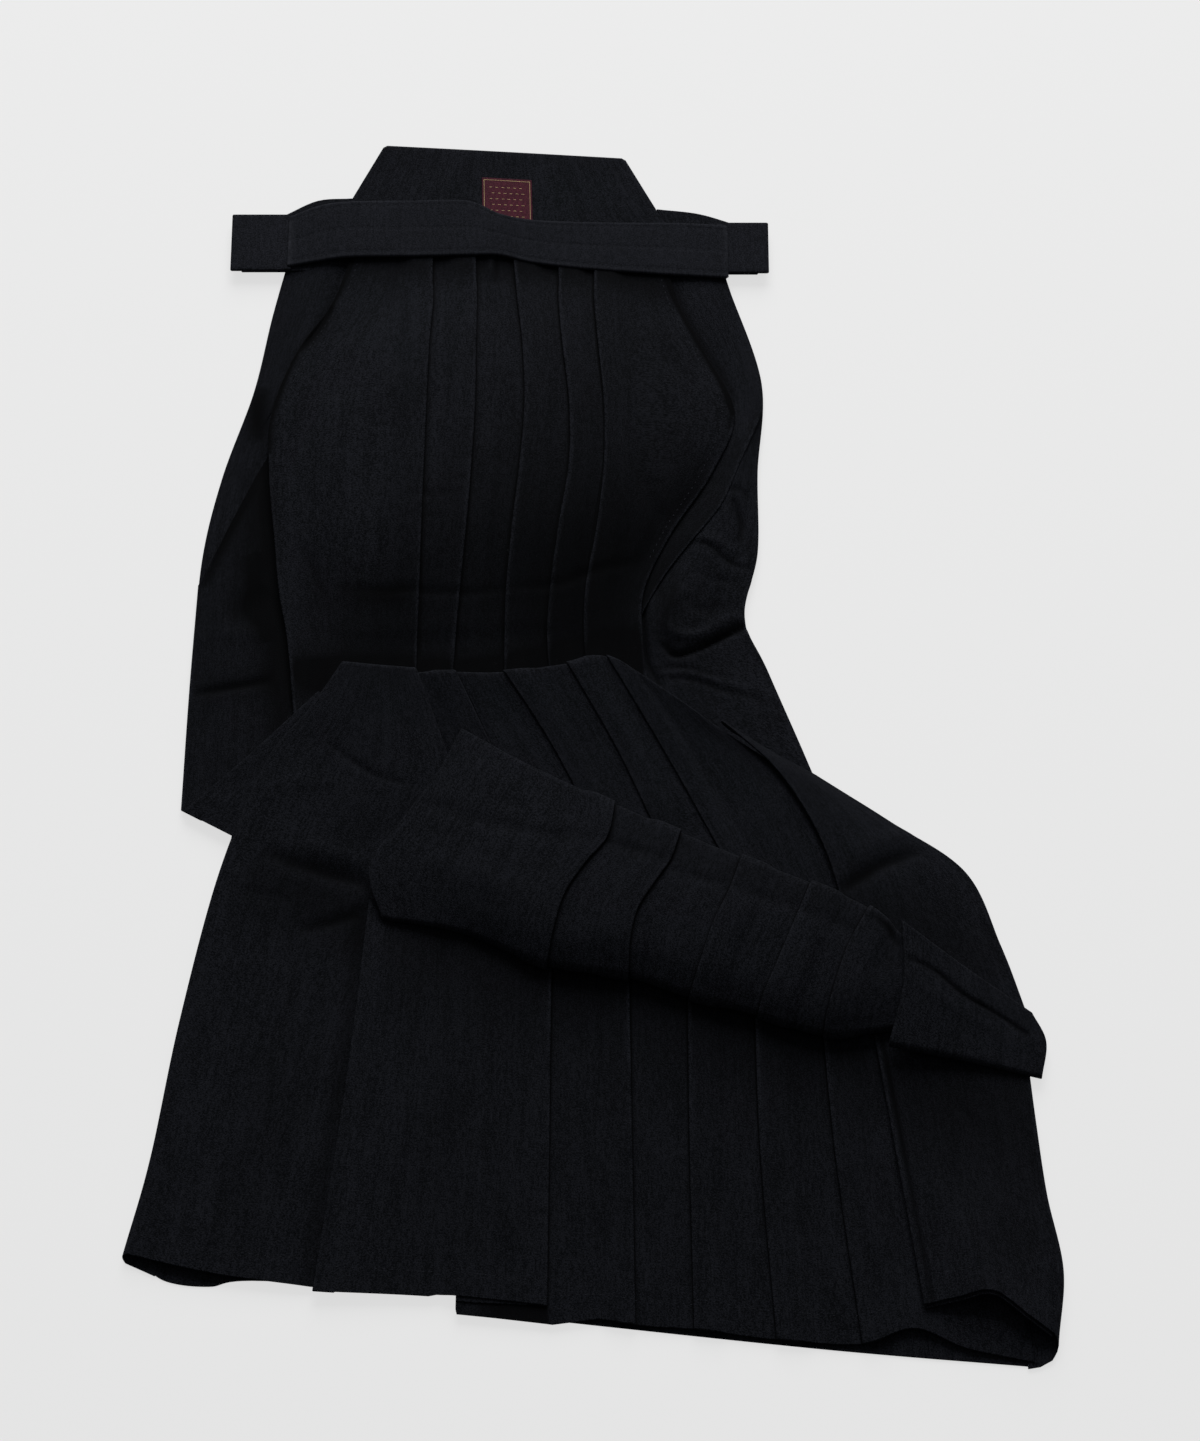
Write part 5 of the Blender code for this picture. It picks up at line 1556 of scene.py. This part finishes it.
def buildBackTies():
    for node, table in backTies.items():
        lines = linesOf(table)
        rows = sections(meanLength(lines), topTuck=cloth["foldTuck"], step=tieShape["backRowStep"])
        grid = plainGrid(lines, rows, [tieShape["backBend"]] * 3)
        wallPiece("cloth_" + node, grid, tieShape["backWall"], navyCloth, [node], rims=3)


buildBand()
buildBoard()
labelThreads = buildLabel()
buildTieFolds()
buildBackTies()
print("waist made")


# Stitching.

def bandStitches():
    rowsCount, columns = made["cloth_waistband"]["grid"].shape[:2]
    column = np.arange(1.0, columns - 1)
    rows = []
    for t in waistband["seams"]:
        row = np.full_like(column, (1 - t) / 2 * (rowsCount - 1))
        rows.append((*onCloth("cloth_waistband", row, column), waistband["wall"] / 2))
    return stitchPiece("stitches_waistband", rows, bandStitch, navyThread)


# Hem stitches: along one section of the cloth, wherever the cloth faces up.
def hemStitches(name):
    info = made[name]
    row = info["grid"].shape[0] - 1 - int(round(hemStitch["fromHem"] / info["step"]))
    path, normal = info["grid"][row], info["normal"][row]
    up = normal[:, 2] > hemStitch["upright"]
    edges = np.flatnonzero(np.diff(np.concatenate([[0], up.astype(int), [0]])))
    runs = [(path[a:b], normal[a:b], cloth["wall"] / 2)
            for a, b in zip(edges[::2], edges[1::2]) if b - a > 4]
    return stitchPiece("stitches_" + name, runs, hemStitch, navyThread)


# Slit stitches: down the cloth from its first rows to a share of its length, at one distance
# from its folded edge.
def slitStitches(name, fromLeft, share):
    grid = made[name]["grid"]
    middle = grid[grid.shape[0] // 3][::1 if fromLeft else -1]
    edge = middle[:, 0].argmin() if fromLeft else middle[:, 0].argmax()
    run = np.cumsum(np.linalg.norm(np.diff(middle[edge:, :2], axis=0), axis=1))
    column = edge + 1 + int(np.searchsorted(run, hemStitch["fromSlit"]))
    column = column if fromLeft else grid.shape[1] - 1 - column
    row = np.arange(4.0, grid.shape[0] * share)
    rows = [(*onCloth(name, row, np.full_like(row, column)), cloth["wall"] / 2)]
    return stitchPiece("stitches_slit_" + name, rows, hemStitch, navyThread)


hemmed = ["front_lower_left", "front_lower_right", "side_left_lower", "side_right_lower"]
withPieces = {"cloth_" + name: [hemStitches("cloth_" + name)] for name in hemmed}
for name, fromLeft, share in (("upper_left", True, 0.45), ("upper_right", False, 0.72)):
    name = "cloth_front_" + name
    withPieces[name] = [slitStitches(name, fromLeft, share)]
withPieces["cloth_waistband"] = [bandStitches()]
withPieces["cloth_label"] = labelThreads


# Floor, light and camera.

def buildFloor():
    half = floorLook["size"] / 2
    mesh = bpy.data.meshes.new("floor")
    z = floorLook["height"]
    mesh.from_pydata([(-half, -half, z), (half, -half, z), (half, half, z), (-half, half, z)],
                     [], [(0, 1, 2, 3)])
    material, tree, shader = newMaterial("paleFloor")
    feedAll(tree, shader, {
        "Base Color": floorLook["colour"],
        "Roughness": floorLook["roughness"],
        "Specular IOR Level": 0.0,
        "Emission Color": (1.0, 1.0, 1.0, 1.0),
        "Emission Strength": floorLook["glow"],
    })
    mesh.materials.append(material)
    floor = newObject("floor", mesh)


def buildLight():
    world = bpy.data.worlds.new("studio")
    world.use_nodes = True
    background = world.node_tree.nodes["Background"]
    background.inputs["Color"].default_value = light["worldColour"]
    background.inputs["Strength"].default_value = light["world"]
    bpy.context.scene.world = world
    tilt = math.radians(90 - light["sunElevation"])
    for name, strength, side in (("fill", "sunStrength", -1), ("front", "frontStrength", 1)):
        lamp = bpy.data.lights.new(name, "SUN")
        lamp.energy = light[strength]
        lamp.angle = math.radians(light["sunSpread"])
        newObject(name, lamp).rotation_euler = (side * tilt, 0, 0)
    lamp = bpy.data.lights.new("key", "AREA")
    lamp.energy = light["keyPower"]
    lamp.size = light["keySize"]
    key = newObject("key", lamp)
    key.location = light["keyPlace"]
    x, y, z = [a - b for a, b in zip(light["keyPlace"], light["keyAim"])]
    key.rotation_euler = (math.atan2(math.hypot(x, y), z), 0, math.atan2(x, -y))


def buildCamera():
    lens = bpy.data.cameras.new("camera")
    lens.sensor_fit = "VERTICAL"
    lens.sensor_height = camera["sensor"]
    lens.lens = camera["lens"]
    lens.clip_end = camera["clipEnd"]
    eye = newObject("camera", lens)
    angle = math.radians(camera["elevation"])
    x, y, z = camera["target"]
    away = camera["distance"]
    eye.location = (x, y - away * math.cos(angle), z + away * math.sin(angle))
    eye.rotation_euler = (math.radians(90) - angle, 0, 0)
    bpy.context.scene.camera = eye


buildFloor()
buildLight()
buildCamera()
bpy.context.scene.view_settings.view_transform = "Standard"
print("floor, light and camera made")
